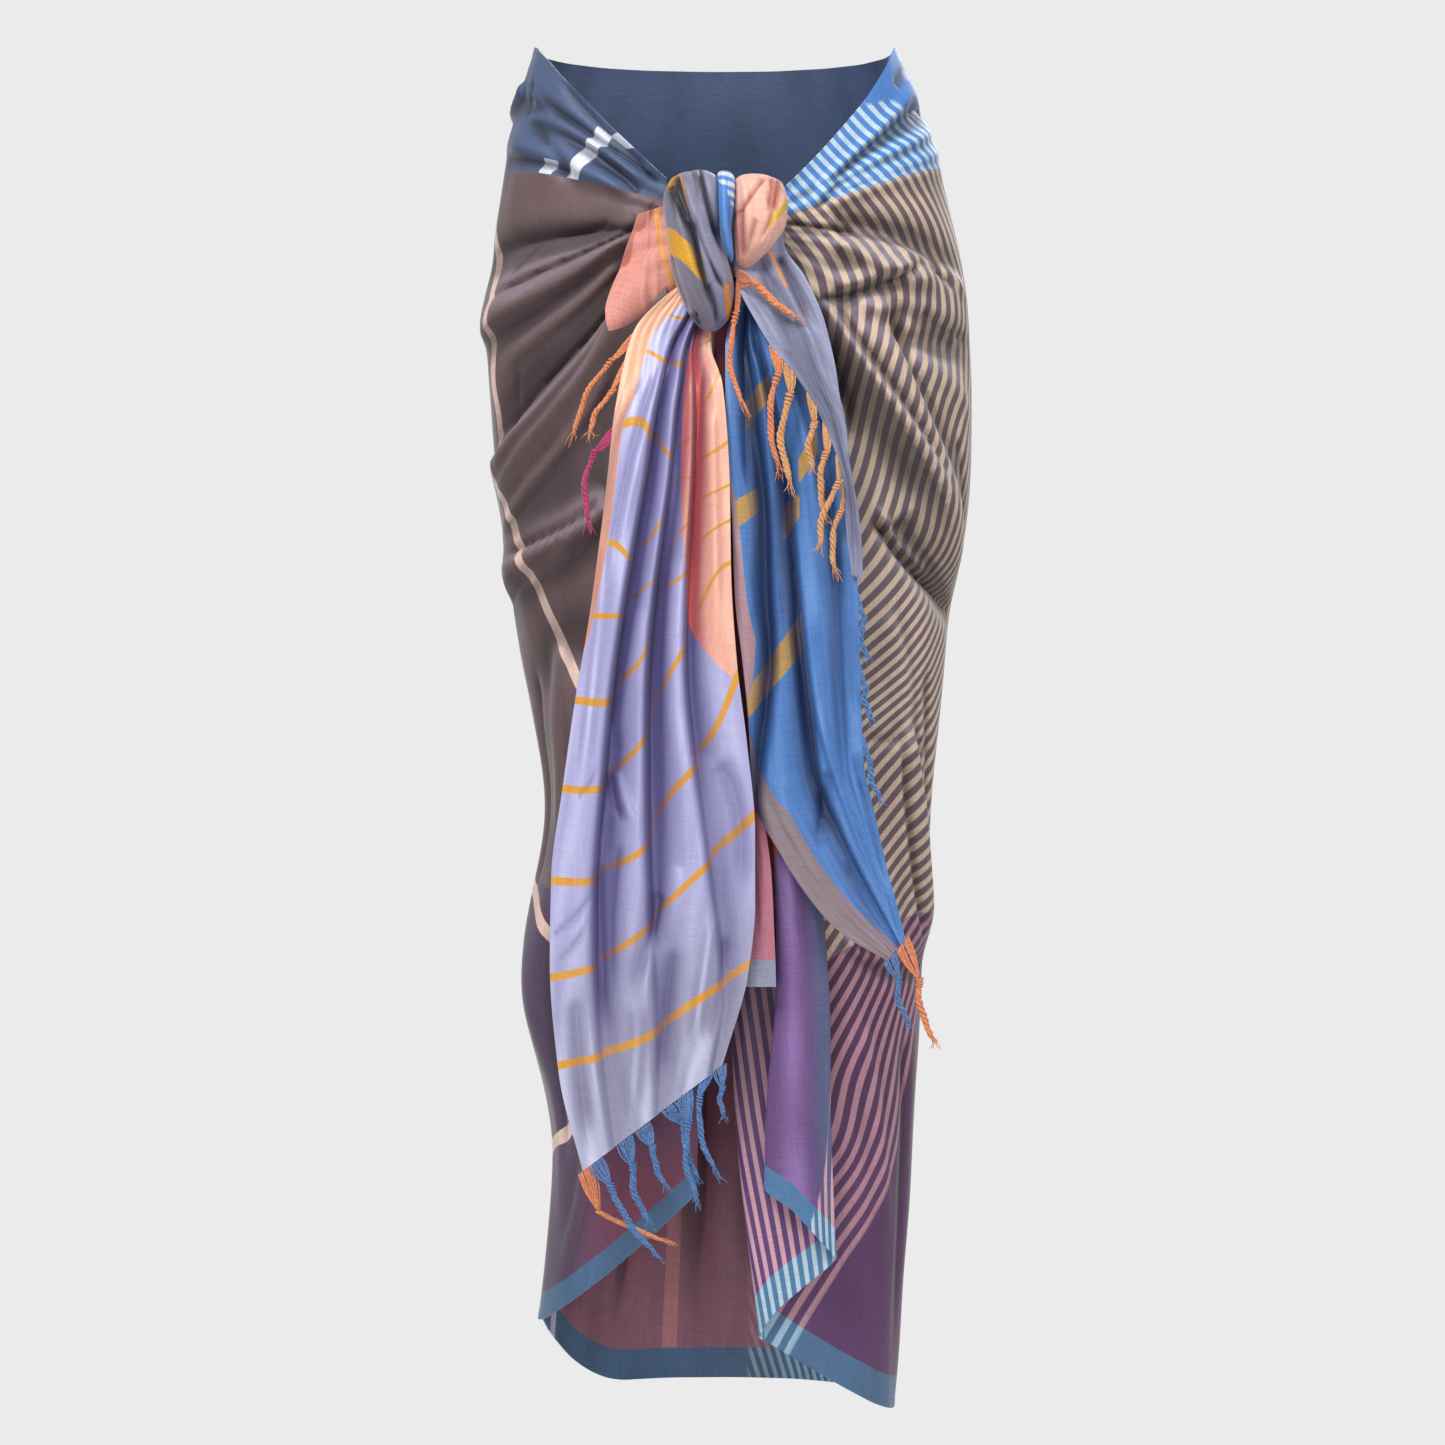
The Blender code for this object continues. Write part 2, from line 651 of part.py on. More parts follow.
def build_lobe(name, rows, back, colour, power=2.4):
    """A bunched lobe of the knot: flat behind, round in front, closed at its top and foot."""
    heights = np.concatenate([rows["z"], (rows["z"][1:] + rows["z"][:-1]) / 2])
    heights = np.sort(heights)[::-1]
    turn = np.radians(np.linspace(0, 180, 11))
    left = read(rows, "z", "left", heights)[:, None]
    right = read(rows, "z", "right", heights)[:, None]
    proud = read(rows, "z", "proud", heights)[:, None]
    middle, half = (left + right) / 2, (right - left) / 2
    x = middle - half * np.sign(np.cos(turn)) * np.abs(np.cos(turn)) ** (2 / power)
    y = back - proud * np.abs(np.sin(turn)) ** (2 / power)
    points = np.stack([x, y, np.broadcast_to(heights[:, None], x.shape)], axis=-1)
    rings, count = points.shape[:2]
    index = np.arange(rings * count).reshape(rings, count)
    ahead = np.roll(index, -1, axis=1)
    sides = np.stack([index[:-1], ahead[:-1], ahead[1:], index[1:]], axis=-1).reshape(-1, 4)
    faces = [*sides, index[0][::-1], index[-1]]
    add_mesh(name, points.reshape(-1, 3), faces, colour)


def build_core():
    """The hidden crossing inside the knot: a block with soft edges and flat faces."""
    corners = np.array(
        [
            (x, y, z)
            for x in (CORE_LEFT, CORE_RIGHT)
            for y in (CORE_FRONT, CORE_BACK)
            for z in (CORE_BOTTOM, CORE_TOP)
        ]
    )
    faces = [(0, 1, 3, 2), (4, 6, 7, 5), (0, 4, 5, 1), (2, 3, 7, 6), (0, 2, 6, 4), (1, 5, 7, 3)]
    core = add_mesh("knot_core", corners, faces, GREY_LILAC)
    bevel = core.modifiers.new("soft_edges", "BEVEL")
    bevel.width = CORE_BEVEL * MM
    bevel.segments = 3
    bevel.limit_method = "NONE"


def lock_mesh(name, root, edge_way, row):
    """One tassel: a fan of threads along the strip, a binding knot, and a soft lock that hangs below it."""
    knot = root + np.array([row["knot_x"], -row["knot_out"], row["knot_z"]])
    foot = root + np.array([row["foot_x"], -row["foot_out"], row["foot_z"]])
    sway = np.array([0.1 * (row["foot_z"] - row["knot_z"]), 0, 0])
    # Each station: its place, then its half breadth and half depth as shares of half the bulk.
    stations = (
        (root, 0.9, 0.26),
        (root * 0.5 + knot * 0.5, 1.1, 0.45),
        (knot * 0.85 + root * 0.15, 0.55, 0.55),
        (knot, 1.0, 1.0),
        (knot * 0.9 + foot * 0.1, 0.6, 0.6),
        (knot * 0.6 + foot * 0.4 + sway * 0.6, 1.0, 0.85),
        (knot * 0.25 + foot * 0.75 + sway * 0.3, 1.1, 0.85),
        (foot, 0.75, 0.5),
    )
    centres = np.array([station[0] for station in stations])
    ways = np.gradient(centres, axis=0)
    ways /= np.linalg.norm(ways, axis=1, keepdims=True)
    sides = np.cross(ways, (0.0, 1.0, 0.0))
    sides /= np.linalg.norm(sides, axis=1, keepdims=True)
    fronts = np.cross(sides, ways)
    sides[0] = edge_way * np.sign(edge_way @ sides[0])
    turn = np.radians(45 + 360 / LOCK_SIDES * np.arange(LOCK_SIDES))
    half = math.sqrt(2) * row["bulk"] / 2
    wide = np.array([station[1] for station in stations])[:, None, None] * half
    deep = np.array([station[2] for station in stations])[:, None, None] * half
    around = wide * np.cos(turn)[:, None] * sides[:, None] + deep * np.sin(turn)[:, None] * fronts[:, None]
    points = (centres[:, None] + around).reshape(-1, 3)
    index = np.arange(len(points)).reshape(len(stations), LOCK_SIDES)
    ahead = np.roll(index, -1, axis=1)
    rims = np.stack([index[:-1], ahead[:-1], ahead[1:], index[1:]], axis=-1).reshape(-1, 4)
    lock = add_mesh(name, points, [*rims, index[0][::-1], index[-1]], ORANGE)
    lock.hide_render = True
    lock.display_type = "WIRE"
    return lock


def build_fringe(name, surface, u, v, tassels, colour):
    """A narrow strip at a cloth's edge, with its tassels fused to it. u and v hold its two long lines."""
    outer, inner = wall_grids(surface, u, v)
    strip = add_mesh(name, *wall_faces(outer, inner), colour)
    centre = ((outer + inner) / 2).mean(axis=0)
    along = np.linspace(0, 1, len(centre))
    for i, share in enumerate(tassels["root"]):
        row = {key: column[i] for key, column in tassels.items()}
        near = np.clip((share - 0.08, share, share + 0.08), 0, 1)
        before, root, after = np.stack([np.interp(near, along, axis) for axis in centre.T], axis=-1)
        edge_way = (after - before) / np.linalg.norm(after - before)
        join = strip.modifiers.new(f"lock_{i}", "BOOLEAN")
        join.operation = "UNION"
        join.solver = "EXACT"
        join.object = lock_mesh(f"{name}_lock_{i}", root, edge_way, row)


def main():
    clear_scene()
    build_front("left", (SLATE, MAUVE))
    build_front("right", (BLUE, MAUVE))
    build_back()
    build_pleat()
    build_core()
    build_lobe("knot_loop", KNOT_LOOP, LOOP_BACK, GREY_LILAC)
    build_lobe("knot_sliver", KNOT_SLIVER, LOOP_BACK, BLUE)
    build_lobe("knot_lobe", KNOT_LOBE, LOBE_BACK, SALMON)
    left_strips = (
        ("fringe_left_foot", "foot", 0, 0, TASSELS_LEFT_FOOT, BLUE),
        ("fringe_left_side", "left", 3, 8, TASSELS_LEFT_SIDE, ORANGE),
    )
    right_strips = (
        ("fringe_right_foot", "foot", 0, 0, TASSELS_RIGHT_FOOT, ORANGE),
        ("fringe_right_side", "right", 11, 19, TASSELS_RIGHT_SIDE, BLUE),
    )
    grey_strips = (
        ("fringe_knot", "left", 1, 3, TASSELS_KNOT, ORANGE),
        ("fringe_flap", "left", 6, 13, TASSELS_GREY, ORANGE),
    )
    build_hanging("tail_left", TAIL_LEFT, TROUGHS_LEFT, TAIL_GRID, LAVENDER, left_strips)
    build_hanging("tail_right", TAIL_RIGHT, TROUGHS_RIGHT, TAIL_GRID, BLUE, right_strips)
    build_hanging("inner_end", INNER_END, TROUGHS_INNER, (10, 6), PINK)
    build_hanging("flap_grey", FLAP_GREY, TROUGHS_GREY, (16, 7), GREY_LILAC, grey_strips)
    build_salmon_flap()


main()
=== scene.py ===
"""The looks of a handwoven sarong cloth, tied in front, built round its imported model.

Each stretch of cloth is a thin shell that follows the model's own worn form, with finer creases, woven
stripes and borders, and the tassels are twisted from threads. Tables are in millimetres, and a mesh is
turned to metres when it is made. +X is to the right as seen from the front, -Y is the front, +Z is up.
"""

from __future__ import annotations

import logging
import math
from dataclasses import dataclass
from enum import Enum

import bpy
import numpy as np
from bpy.types import Material, Mesh, Node, NodeSocket, NodeTree, Object
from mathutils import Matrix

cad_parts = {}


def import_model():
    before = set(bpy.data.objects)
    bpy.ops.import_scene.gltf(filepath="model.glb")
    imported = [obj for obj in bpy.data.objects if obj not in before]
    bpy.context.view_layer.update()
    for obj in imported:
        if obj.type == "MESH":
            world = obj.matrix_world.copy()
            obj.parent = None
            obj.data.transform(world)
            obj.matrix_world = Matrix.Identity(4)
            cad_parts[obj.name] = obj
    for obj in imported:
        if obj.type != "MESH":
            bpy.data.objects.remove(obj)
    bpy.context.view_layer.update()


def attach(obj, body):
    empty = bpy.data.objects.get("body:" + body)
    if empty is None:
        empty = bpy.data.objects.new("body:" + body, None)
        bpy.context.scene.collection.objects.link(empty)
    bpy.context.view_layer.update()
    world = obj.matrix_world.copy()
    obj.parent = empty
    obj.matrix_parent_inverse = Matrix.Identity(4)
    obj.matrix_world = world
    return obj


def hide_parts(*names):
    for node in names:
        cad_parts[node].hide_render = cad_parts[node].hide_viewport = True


LOG = logging.getLogger("sarong")
MM = 0.001
Array = np.ndarray
Table = dict[str, Array]
Marks = dict[str, Array]
Row = dict[str, float]

# How far down the cloth its hem, the foot of the waist band and the head of the pleat lie, how wide the
# hem's border is, and how thick the cloth
CLOTH_HEIGHT = 1015.0
BAND_HEIGHT = 95.0
PLEAT_TOP = 620.0
HEM_WIDTH = 24.0
CLOTH_THICKNESS = 0.7

# The rings' superellipse power, the cloth that one degree round the hips takes, and what the finer
# creases are deepened by
SECTION_POWER = 2.3
ARC_PER_DEGREE = 2.6
CREASE_DEPTH = 1.5

# Far from every line or edge, and well outside every patch
FAR = 99.0
OUTSIDE = -9.0


def table(columns: str, *rows: tuple[float, ...]) -> Table:
    """A short table: one array for each named column."""
    return dict(zip(columns.split(), np.array(rows, float).T))


def each_row(rows: Table) -> list[Row]:
    """A table's rows, each with its values by name."""
    return [dict(zip(rows, values)) for values in zip(*rows.values())]


# Rings of the worn form: half widths to each side, and depths to the front and back, at each height
RING = table(
    "z left right front back",
    (45, 140, 129, 94, 94), (0, 153, 149, 105, 105), (-70, 166, 168, 116, 122), (-160, 177, 184, 121, 136),
    (-260, 170, 186, 122, 140), (-400, 152, 168, 121, 133), (-520, 133, 156, 118, 124),
    (-640, 149, 149, 114, 118), (-780, 127, 142, 110, 114), (-970, 146, 128, 106, 112),
)

# Height reached at each side, at the back and at the front edges, by the distance down the cloth
FLOW = table(
    "cloth left_side left_front right_side right_front back",
    (0, 45, -68, 45, -74, 45), (95, -50, -84, -48, -95, -50), (200, -155, -112, -152, -118, -155),
    (320, -272, -150, -270, -150, -275), (520, -462, -335, -470, -335, -478),
    (720, -648, -545, -675, -560, -682), (1015, -905, -800, -970, -905, -970),
)

# Where the two front panels end in front, across the figure
EDGE = table(
    "cloth left right",
    (0, -40, 45), (320, -40, 45), (430, -15, 10), (720, -12, 8), (870, -15, 13), (1015, -19, 30),
)

FOLD_COLUMNS = "across_1 z_1 across_2 z_2 across_3 z_3 height left right narrow"

# The main folds, as in the model: three points on the way, in degrees across and millimetres up, the
# height, and the breadth to each side of the way that the fold runs. Narrow is the share of that breadth
# at its start.
FOLDS = table(
    FOLD_COLUMNS,
    (-16, -100, -40, -112, -100, -118, -7, 16, 16, 0.4), (-16, -92, -45, -150, -98, -172, 11, 9, 28, 0.3),
    (-16, -120, -42, -200, -90, -250, -9, 14, 26, 0.4), (-18, -135, -45, -232, -98, -288, 12, 28, 10, 0.4),
    (-24, -300, -50, -338, -100, -362, 11, 12, 26, 0.5), (-20, -420, -50, -400, -80, -470, -6, 26, 26, 1),
    (-42, -560, -62, -620, -78, -740, 6, 30, 34, 1), (-20, -72, -50, -22, -92, 8, -5, 9, 9, 0.4),
    (-20, -78, -50, -45, -95, -24, 5, 10, 12, 0.4), (22, -80, 50, -28, 92, -2, -5, 9, 9, 0.4),
    (22, -88, 50, -58, 95, -30, 5, 10, 12, 0.4), (24, -104, 45, -103, 80, -130, -6, 13, 13, 0.7),
    (24, -112, 38, -130, 62, -138, 9, 13, 9, 0.5), (26, -150, 42, -178, 88, -188, -6, 12, 14, 0.5),
    (34, -150, 48, -235, 86, -360, 13, 11, 34, 0.5), (42, -310, 58, -350, 96, -385, -10, 16, 16, 0.6),
    (52, -460, 72, -560, 90, -640, 8, 8, 30, 0.8), (36, -618, 60, -640, 88, -630, -5, 12, 12, 0.8),
    (112, -60, 160, -112, 236, -78, -5, 14, 18, 0.8), (106, -150, 150, -208, 205, -190, 5, 16, 26, 0.8),
    (252, -140, 215, -215, 168, -232, -5, 20, 18, 0.8), (128, -240, 132, -560, 126, -960, -9, 22, 22, 0.7),
    (158, -300, 164, -620, 168, -960, 8, 20, 24, 0.6), (192, -260, 190, -600, 186, -960, -10, 22, 20, 0.6),
    (222, -300, 226, -620, 232, -960, 8, 22, 22, 0.6),
)

# Finer creases, which the model leaves out
CREASES = table(
    FOLD_COLUMNS,
    # left waist, along the gathered band
    (-13, -71, -34, -34, -64, 6, -4, 1.8, 3.2, 0.7), (-16, -60, -33, -23, -54, 20, -2.4, 4, 5, 0.7),
    (-16, -72, -42, -29, -80, -4, 3.2, 4, 5, 0.7), (-38, -62, -50, -38, -64, -18, -3.2, 7, 5, 0.8),
    (-40, -62, -55, -50, -88, -40, -3.4, 2.4, 4, 0.8), (-68, 12, -67, 0, -65, -14, -5, 2, 2, 1),
    (-78, 14, -86, 2, -96, -8, 3.6, 6, 5, 0.9), (-18, -80, -26, -62, -38, -52, -2, 3, 3, 0.8),
    # left hip
    (-15, -104, -42, -106, -82, -114, -3.4, 4, 7, 0.6), (-17, -99, -36, -128, -62, -156, -1.8, 2, 5, 0.4),
    (-26, -98, -34, -104, -46, -106, -1.5, 2.5, 2.5, 0.5), (-22, -128, -40, -170, -70, -205, 2, 4, 9, 0.4),
    (-50, -112, -56, -124, -62, -138, -0.9, 2, 2, 0.8), (-24, -168, -44, -236, -88, -300, -2.2, 3, 6, 0.4),
    (-24, -206, -48, -278, -92, -330, 1.8, 4, 8, 0.5), (-14, -95, -36, -124, -78, -153, -3.4, 4, 2, 0.6),
    (-24, -158, -46, -208, -86, -260, -3.4, 5, 2.4, 0.6), (-28, -301, -46, -323, -84, -343, -4, 2.4, 5, 0.7),
    (-40, -330, -60, -352, -96, -378, -2.4, 3, 8, 0.6), (-58, -200, -66, -240, -72, -282, -1, 4, 4, 1),
    # left thigh and shin
    (-50, -400, -58, -480, -60, -560, 2.4, 9, 14, 0.8), (-70, -420, -76, -520, -72, -600, -2, 9, 9, 0.8),
    (-52, -610, -60, -700, -66, -800, -2.2, 9, 12, 0.8), (-38, -700, -50, -800, -62, -870, 2, 8, 12, 0.7),
    # right waist, along the gathered band
    (20, -76, 46, -24, 88, 32, 2.6, 4, 5, 0.5), (20, -82, 44, -46, 90, -14, 3.2, 5, 4, 0.4),
    (20, -88, 44, -62, 92, -36, -2.6, 3, 4, 0.4), (66, -12, 80, -4, 96, -10, -4, 5, 4, 0.7),
    (58, 8, 76, 22, 94, 24, -2.5, 4, 5, 0.7),
    # right hip, fanning from the knot
    (12, -100, 22, -103, 35, -108, -4.6, 2, 3.4, 0.7), (28, -98, 50, -112, 70, -137, -3, 6, 8, 0.8),
    (20, -104, 34, -112, 56, -124, 2.2, 4, 5, 0.4), (22, -146, 36, -134, 50, -120, 2.8, 8, 3, 0.8),
    (20, -154, 36, -143, 52, -122, -5.4, 2, 5, 0.7), (20, -156, 33, -215, 62, -312, 4.4, 3.4, 13, 0.8),
    (24, -158, 37, -215, 66, -310, -3, 3, 2, 0.8), (17, -150, 22, -200, 28, -262, -4.6, 5, 7, 0.8),
    (40, -158, 51, -236, 80, -340, -4.2, 8, 9, 0.8), (40, -158, 56, -172, 71, -187, -2.4, 6, 9, 0.8),
    (56, -124, 62, -132, 70, -140, -2.6, 4, 3, 0.7), (40, -118, 60, -126, 84, -150, 2, 7, 5, 0.6),
    (50, -158, 64, -170, 86, -176, -2.4, 5, 6, 0.6), (44, -196, 62, -212, 84, -238, 1.6, 10, 12, 0.8),
    (66, -250, 74, -290, 82, -330, -1.6, 8, 8, 0.8),
    # right thigh: the tuck below the great fold, and what it drags
    (34, -306, 48, -336, 66, -356, 2.4, 4, 3, 0.6), (34, -312, 48, -343, 70, -364, -4.6, 3, 4, 0.6),
    (60, -352, 74, -366, 92, -376, -4, 3, 4, 0.7), (40, -380, 52, -440, 58, -520, 1.8, 9, 12, 0.8),
    (62, -420, 72, -490, 78, -560, -1.8, 9, 9, 0.8), (36, -470, 56, -474, 76, -480, -0.9, 2, 2, 1),
    # right shin
    (50, -470, 62, -560, 78, -632, -2.6, 4, 4, 0.7), (32, -616, 44, -630, 62, -632, 2.4, 4, 5, 0.6),
    (40, -680, 50, -760, 60, -860, 1.8, 10, 12, 0.8), (64, -690, 70, -800, 72, -930, -2, 9, 12, 0.8),
    # back: drag lines below the waist, then soft falls
    (98, -16, 140, -52, 196, -40, -3.4, 4, 7, 0.7), (102, -40, 142, -80, 190, -72, 2.8, 6, 9, 0.7),
    (256, -8, 216, -44, 168, -50, 3, 5, 8, 0.7), (254, -26, 222, -70, 188, -84, -3.2, 4, 7, 0.7),
    (104, -90, 140, -146, 196, -142, -3.6, 4, 8, 0.7), (252, -150, 216, -240, 168, -262, 3.4, 6, 9, 0.7),
    (250, -170, 220, -262, 186, -300, -3.6, 4, 8, 0.7), (100, -190, 130, -268, 168, -296, -3.4, 4, 8, 0.7),
    (98, -330, 116, -400, 140, -450, -3, 4, 8, 0.8), (258, -350, 240, -420, 214, -480, -3, 8, 4, 0.8),
    (112, -420, 118, -640, 112, -960, 3.6, 9, 12, 0.7), (144, -400, 150, -660, 152, -990, -4.4, 6, 9, 0.6),
    (176, -440, 180, -700, 182, -990, 4.2, 9, 10, 0.6), (206, -380, 209, -640, 214, -990, -4.4, 9, 6, 0.6),
    (242, -420, 240, -660, 246, -960, 3.4, 9, 12, 0.7), (160, -560, 164, -760, 160, -960, -2.6, 4, 5, 0.7),
    (226, -520, 226, -740, 230, -960, 2.6, 5, 6, 0.7),
)

# Numbers of the cream stripes on the right panel and round the back, at angles and heights
STRIPES = table(
    "angle z number",
    (17, -99, -1), (28, -84, 3), (39, -72, 6), (65, -57, 11.7), (80, -52, 14.2), (92, -48, 16),
    (35, -6, 10.5), (18, -42, 4), (12, -63, 0), (68, -15, 14.5), (52, -24, 11.5), (26, -126, -0.5),
    (24, -147, -1.5), (35, -105, 2.5), (41, -132, 3.2), (18, -129, -3), (43, -156, 3), (35, -201, 3),
    (33, -258, 3), (55, -150, 6), (49, -198, 6), (44, -282, 6), (39, -321, 6), (32, -354, 6), (64, -174, 8),
    (50, -270, 8), (52, -333, 8), (42, -360, 8), (33, -381, 8), (29, -201, 0), (24, -255, 0), (72, -195, 10),
    (56, -282, 10.5), (58, -342, 10.5), (38, -396, 10), (86, -192, 12), (65, -351, 12), (36, -423, 12),
    (67, -369, 14), (42, -432, 14), (80, -369, 17), (56, -438, 17), (37, -471, 17.5), (54, -471, 20.7),
    (72, -471, 22.5), (46, -516, 22), (76, -516, 26), (55, -552, 26), (96, -555, 30), (65, -591, 31),
    (42, -573, 25.5), (76, -636, 35), (55, -633, 31.5), (38, -663, 30), (51, -666, 33), (68, -666, 37),
    (69, -723, 38), (33, -717, 32), (61, -771, 38), (33, -765, 32), (50, -819, 38), (38, -843, 38),
    (23, -891, 38), (34, -798, 35), (120, -60, 27), (120, -360, 30), (120, -640, 46), (120, -920, 58),
    (180, -60, 46), (180, -360, 50), (180, -640, 60), (180, -920, 78),
)

# The wide pale warp stripes: their angle at each height, on the left side and inside the back
PALE_SIDE = table(
    "z angle",
    (60, -92), (-57, -90), (-108, -78), (-156, -68), (-219, -76), (-273, -76), (-306, -68), (-350, -58),
    (-384, -53), (-426, -44), (-480, -28), (-540, -10),
)
PALE_LOW = table(
    "z angle",
    (-430, -118), (-540, -100), (-576, -84), (-590, -70), (-605, -60), (-622, -52), (-700, -47), (-748, -52),
    (-762, -64), (-776, -84), (-800, -100), (-860, -112), (-990, -116),
)

# Height where the mauve ground turns to plum, round the figure
PLUM_BORDER = table(
    "angle z",
    (-200, -600), (-120, -590), (-82, -577), (-51, -583), (-10, -620), (20, -640), (35, -621), (49, -612),
    (69, -600), (120, -606), (200, -600),
)

# The front pleat in plan: breadths as a share from its left fold to its right fold, and how far it
# stands out in front of the panel that it folds from
PLEAT_PATH = table(
    "along across out",
    (0.00, 0.06, 0), (0.07, 0.00, 3.5), (0.15, 0.07, 7.5), (0.46, 0.95, 8.5), (0.53, 1.00, 12),
    (0.61, 0.94, 15.5), (0.8, 0.5, 23), (0.95, 0.05, 20), (1.00, 0.04, 15.5),
)
SECOND_FOLD = 0.53
PLEAT = table(
    "cloth breadth left_share lift_right lift_left",
    (620, 52, 0.55, 0, 0), (820, 70, 0.45, 20, 38), (1015, 55, 0.03, 60, 112),
)

TAIL_COLUMNS = "left_x left_z right_x right_z depth"
TAIL_LEFT = table(
    TAIL_COLUMNS,
    (-23, -140.3, -5, -140.3, -131), (-42, -156, -8, -162, -132), (-63, -180, -8, -191, -138),
    (-75, -231, 0, -220, -155), (-83, -302, 5, -288, -164), (-92, -373, 6, -352, -167),
    (-104, -444, 10, -415, -167), (-113, -507, 17, -472, -166), (-121, -569, 23, -536, -164),
    (-122, -631, 23, -589, -162), (-116, -706, 18, -638, -160), (-99, -777, 0, -702, -158),
)
TAIL_RIGHT = table(
    TAIL_COLUMNS,
    (16, -140.3, 34, -140.3, -131), (8, -166, 42, -164, -134), (2, -195, 55, -185, -145),
    (2, -252, 80, -231, -153), (7, -316, 92, -287, -156), (9, -372, 95, -344, -157),
    (14, -415, 97, -401, -157), (18, -454, 98, -443, -157), (21, -507, 100, -486, -156),
    (43, -556, 108, -525, -154), (81, -606, 118, -568, -150), (117, -629, 130, -614, -146),
)
FLAP_GREY = table(
    TAIL_COLUMNS,
    (16, -100, 40, -100, -142.5), (8.5, -132, 45, -122, -142.5), (12, -151, 58, -142, -148),
    (25, -178, 72, -175, -160), (36, -196, 79, -206, -165), (50, -212, 83, -230, -166),
    (63, -232, 87, -249, -166), (76, -258, 89, -274, -165), (84, -286, 93, -295, -164),
    (87, -316, 97, -320, -163), (91, -355, 99, -358, -161),
)
INNER_END = table(
    TAIL_COLUMNS,
    (-3.5, -140.3, 14.5, -140.3, -125.5), (-8, -243, 16, -243, -131), (-10, -372, 20, -372, -141),
    (-11, -486, 24, -486, -147), (-13, -572, 35, -572, -149), (-16, -647, 38, -647, -150),
)
FLAP_SALMON = table(
    TAIL_COLUMNS,
    (-61, -94, -42, -88, 0), (-71, -124, -38, -114, 0), (-84, -164, -33, -146, 0), (-80, -184, -34, -166, 0),
    (-74, -198, -52, -188, 0),
)

# Troughs in a hanging end: their share across it at the top, the middle and the foot, and their depths.
# Lean is how much wider each is on its right side than on its left.
TROUGH_COLUMNS = "top middle foot depth_top depth_middle depth_foot breadth lean"
TROUGHS_LEFT = table(
    TROUGH_COLUMNS,
    (0.75, 0.25, 0.23, 4, 12, 2, 0.066, 0.6), (0.9, 0.47, 0.55, 4, 13, 2, 0.066, 0.55),
    (0.85, 0.7, 0.93, 3, 9, 2, 0.055, 0.55),
)
TROUGHS_RIGHT = table(
    TROUGH_COLUMNS,
    (0.28, 0.25, -0.4, 3, 10, 0, 0.072, -0.2), (0.42, 0.5, 0.68, 3, 11, 2, 0.08, -0.6),
    (0.8, 0.82, 0.85, 2, 5, 0, 0.06, -0.3),
)
TROUGHS_GREY = table(TROUGH_COLUMNS, (0.45, 0.55, 0.6, 0, 3, 0, 0.2, -0.3))
TROUGHS_INNER = table(TROUGH_COLUMNS, (0.5, 0.4, 0.4, 1, 3, 0, 0.2, 0.0))

# Creases of the hanging ends, as places across and up in millimetres
CREASES_END_LEFT = table(
    FOLD_COLUMNS,
    # where it fans out below the knot
    (-40, -200, -58, -267, -75, -345, 2.2, 4, 4, 0.6), (-48, -212, -69, -288, -83, -373, -1.8, 3, 2.5, 0.6),
    (-24, -208, -36, -288, -48, -373, 2.2, 5, 4, 0.6), (-14, -205, -20, -302, -22, -373, -3.2, 4, 3, 0.6),
    (-8, -240, -6, -310, -4, -400, 1.8, 4, 4, 0.8), (-60, -216, -78, -262, -86, -330, 1.6, 3, 4, 0.7),
    # ridges of silk
    (-81, -330, -89, -412, -103, -529, 1.8, 5, 4, 1), (-58, -377, -69, -436, -76, -478, 2.2, 6, 4, 1),
    (-32, -342, -37, -412, -32, -506, 1.8, 6, 5, 1), (-14, -480, -10, -530, -12, -590, 1.6, 7, 6, 1),
    # wrinkles at the lower half
    (-80, -496, -76, -515, -69, -532, -3, 3, 2.5, 1), (-75, -494, -70, -512, -62, -530, 2.4, 3, 3, 1),
    (-4, -487, 12, -529, 10, -595, -3.5, 6, 8, 1), (-88, -560, -86, -623, -81, -690, -2.6, 4, 6, 0.8),
    (-72, -545, -78, -600, -76, -660, -2.4, 3.5, 5, 0.8), (-44, -580, -51, -611, -67, -660, -3.5, 3, 8, 0.9),
    (-32, -560, -41, -600, -51, -655, 2.2, 8, 6, 0.9),
    (-118, -609, -104, -597, -88, -576, -1.4, 1.6, 2.2, 1),
    (-114, -626, -104, -616, -94, -600, -1.1, 1.4, 2, 1),
    (-101, -510, -94, -505, -87, -490, -1.2, 1.5, 2, 1),
    (-104, -655, -101, -705, -94, -765, -2.4, 5, 4, 0.9), (-60, -660, -62, -700, -66, -745, 2.2, 6, 6, 0.9),
    (-35, -620, -40, -665, -46, -725, -2.6, 5, 4, 0.9), (-8, -600, -14, -645, -22, -695, 2, 5, 5, 0.9),
    (2, -610, -2, -650, -8, -690, -2, 3, 4, 0.9),
)
CREASES_END_RIGHT = table(
    FOLD_COLUMNS,
    (14, -190, 16, -246, 18, -302, -2.8, 3, 3, 0.7), (24, -196, 32, -253, 37, -316, 2.2, 4, 3, 0.7),
    (36, -205, 46, -260, 52, -330, -2.8, 4, 3, 0.7), (50, -225, 62, -280, 70, -350, 2, 5, 4, 0.7),
    (12, -330, 17, -365, 22, -393, 1.5, 4, 4, 0.9), (46, -318, 49, -389, 50, -459, 2.2, 5, 5, 1),
    (55, -380, 76, -483, 123, -600, 2.8, 12, 2.5, 1), (74, -494, 71, -520, 68, -555, -3.4, 6, 4, 1),
    (92, -480, 106, -530, 119, -585, -2.2, 5, 3, 1), (81, -335, 88, -400, 91, -462, -2.2, 6, 4, 1),
    (40, -500, 52, -540, 78, -585, 1.6, 6, 6, 1), (88, -560, 100, -585, 120, -616, -2, 4, 4, 0.8),
)
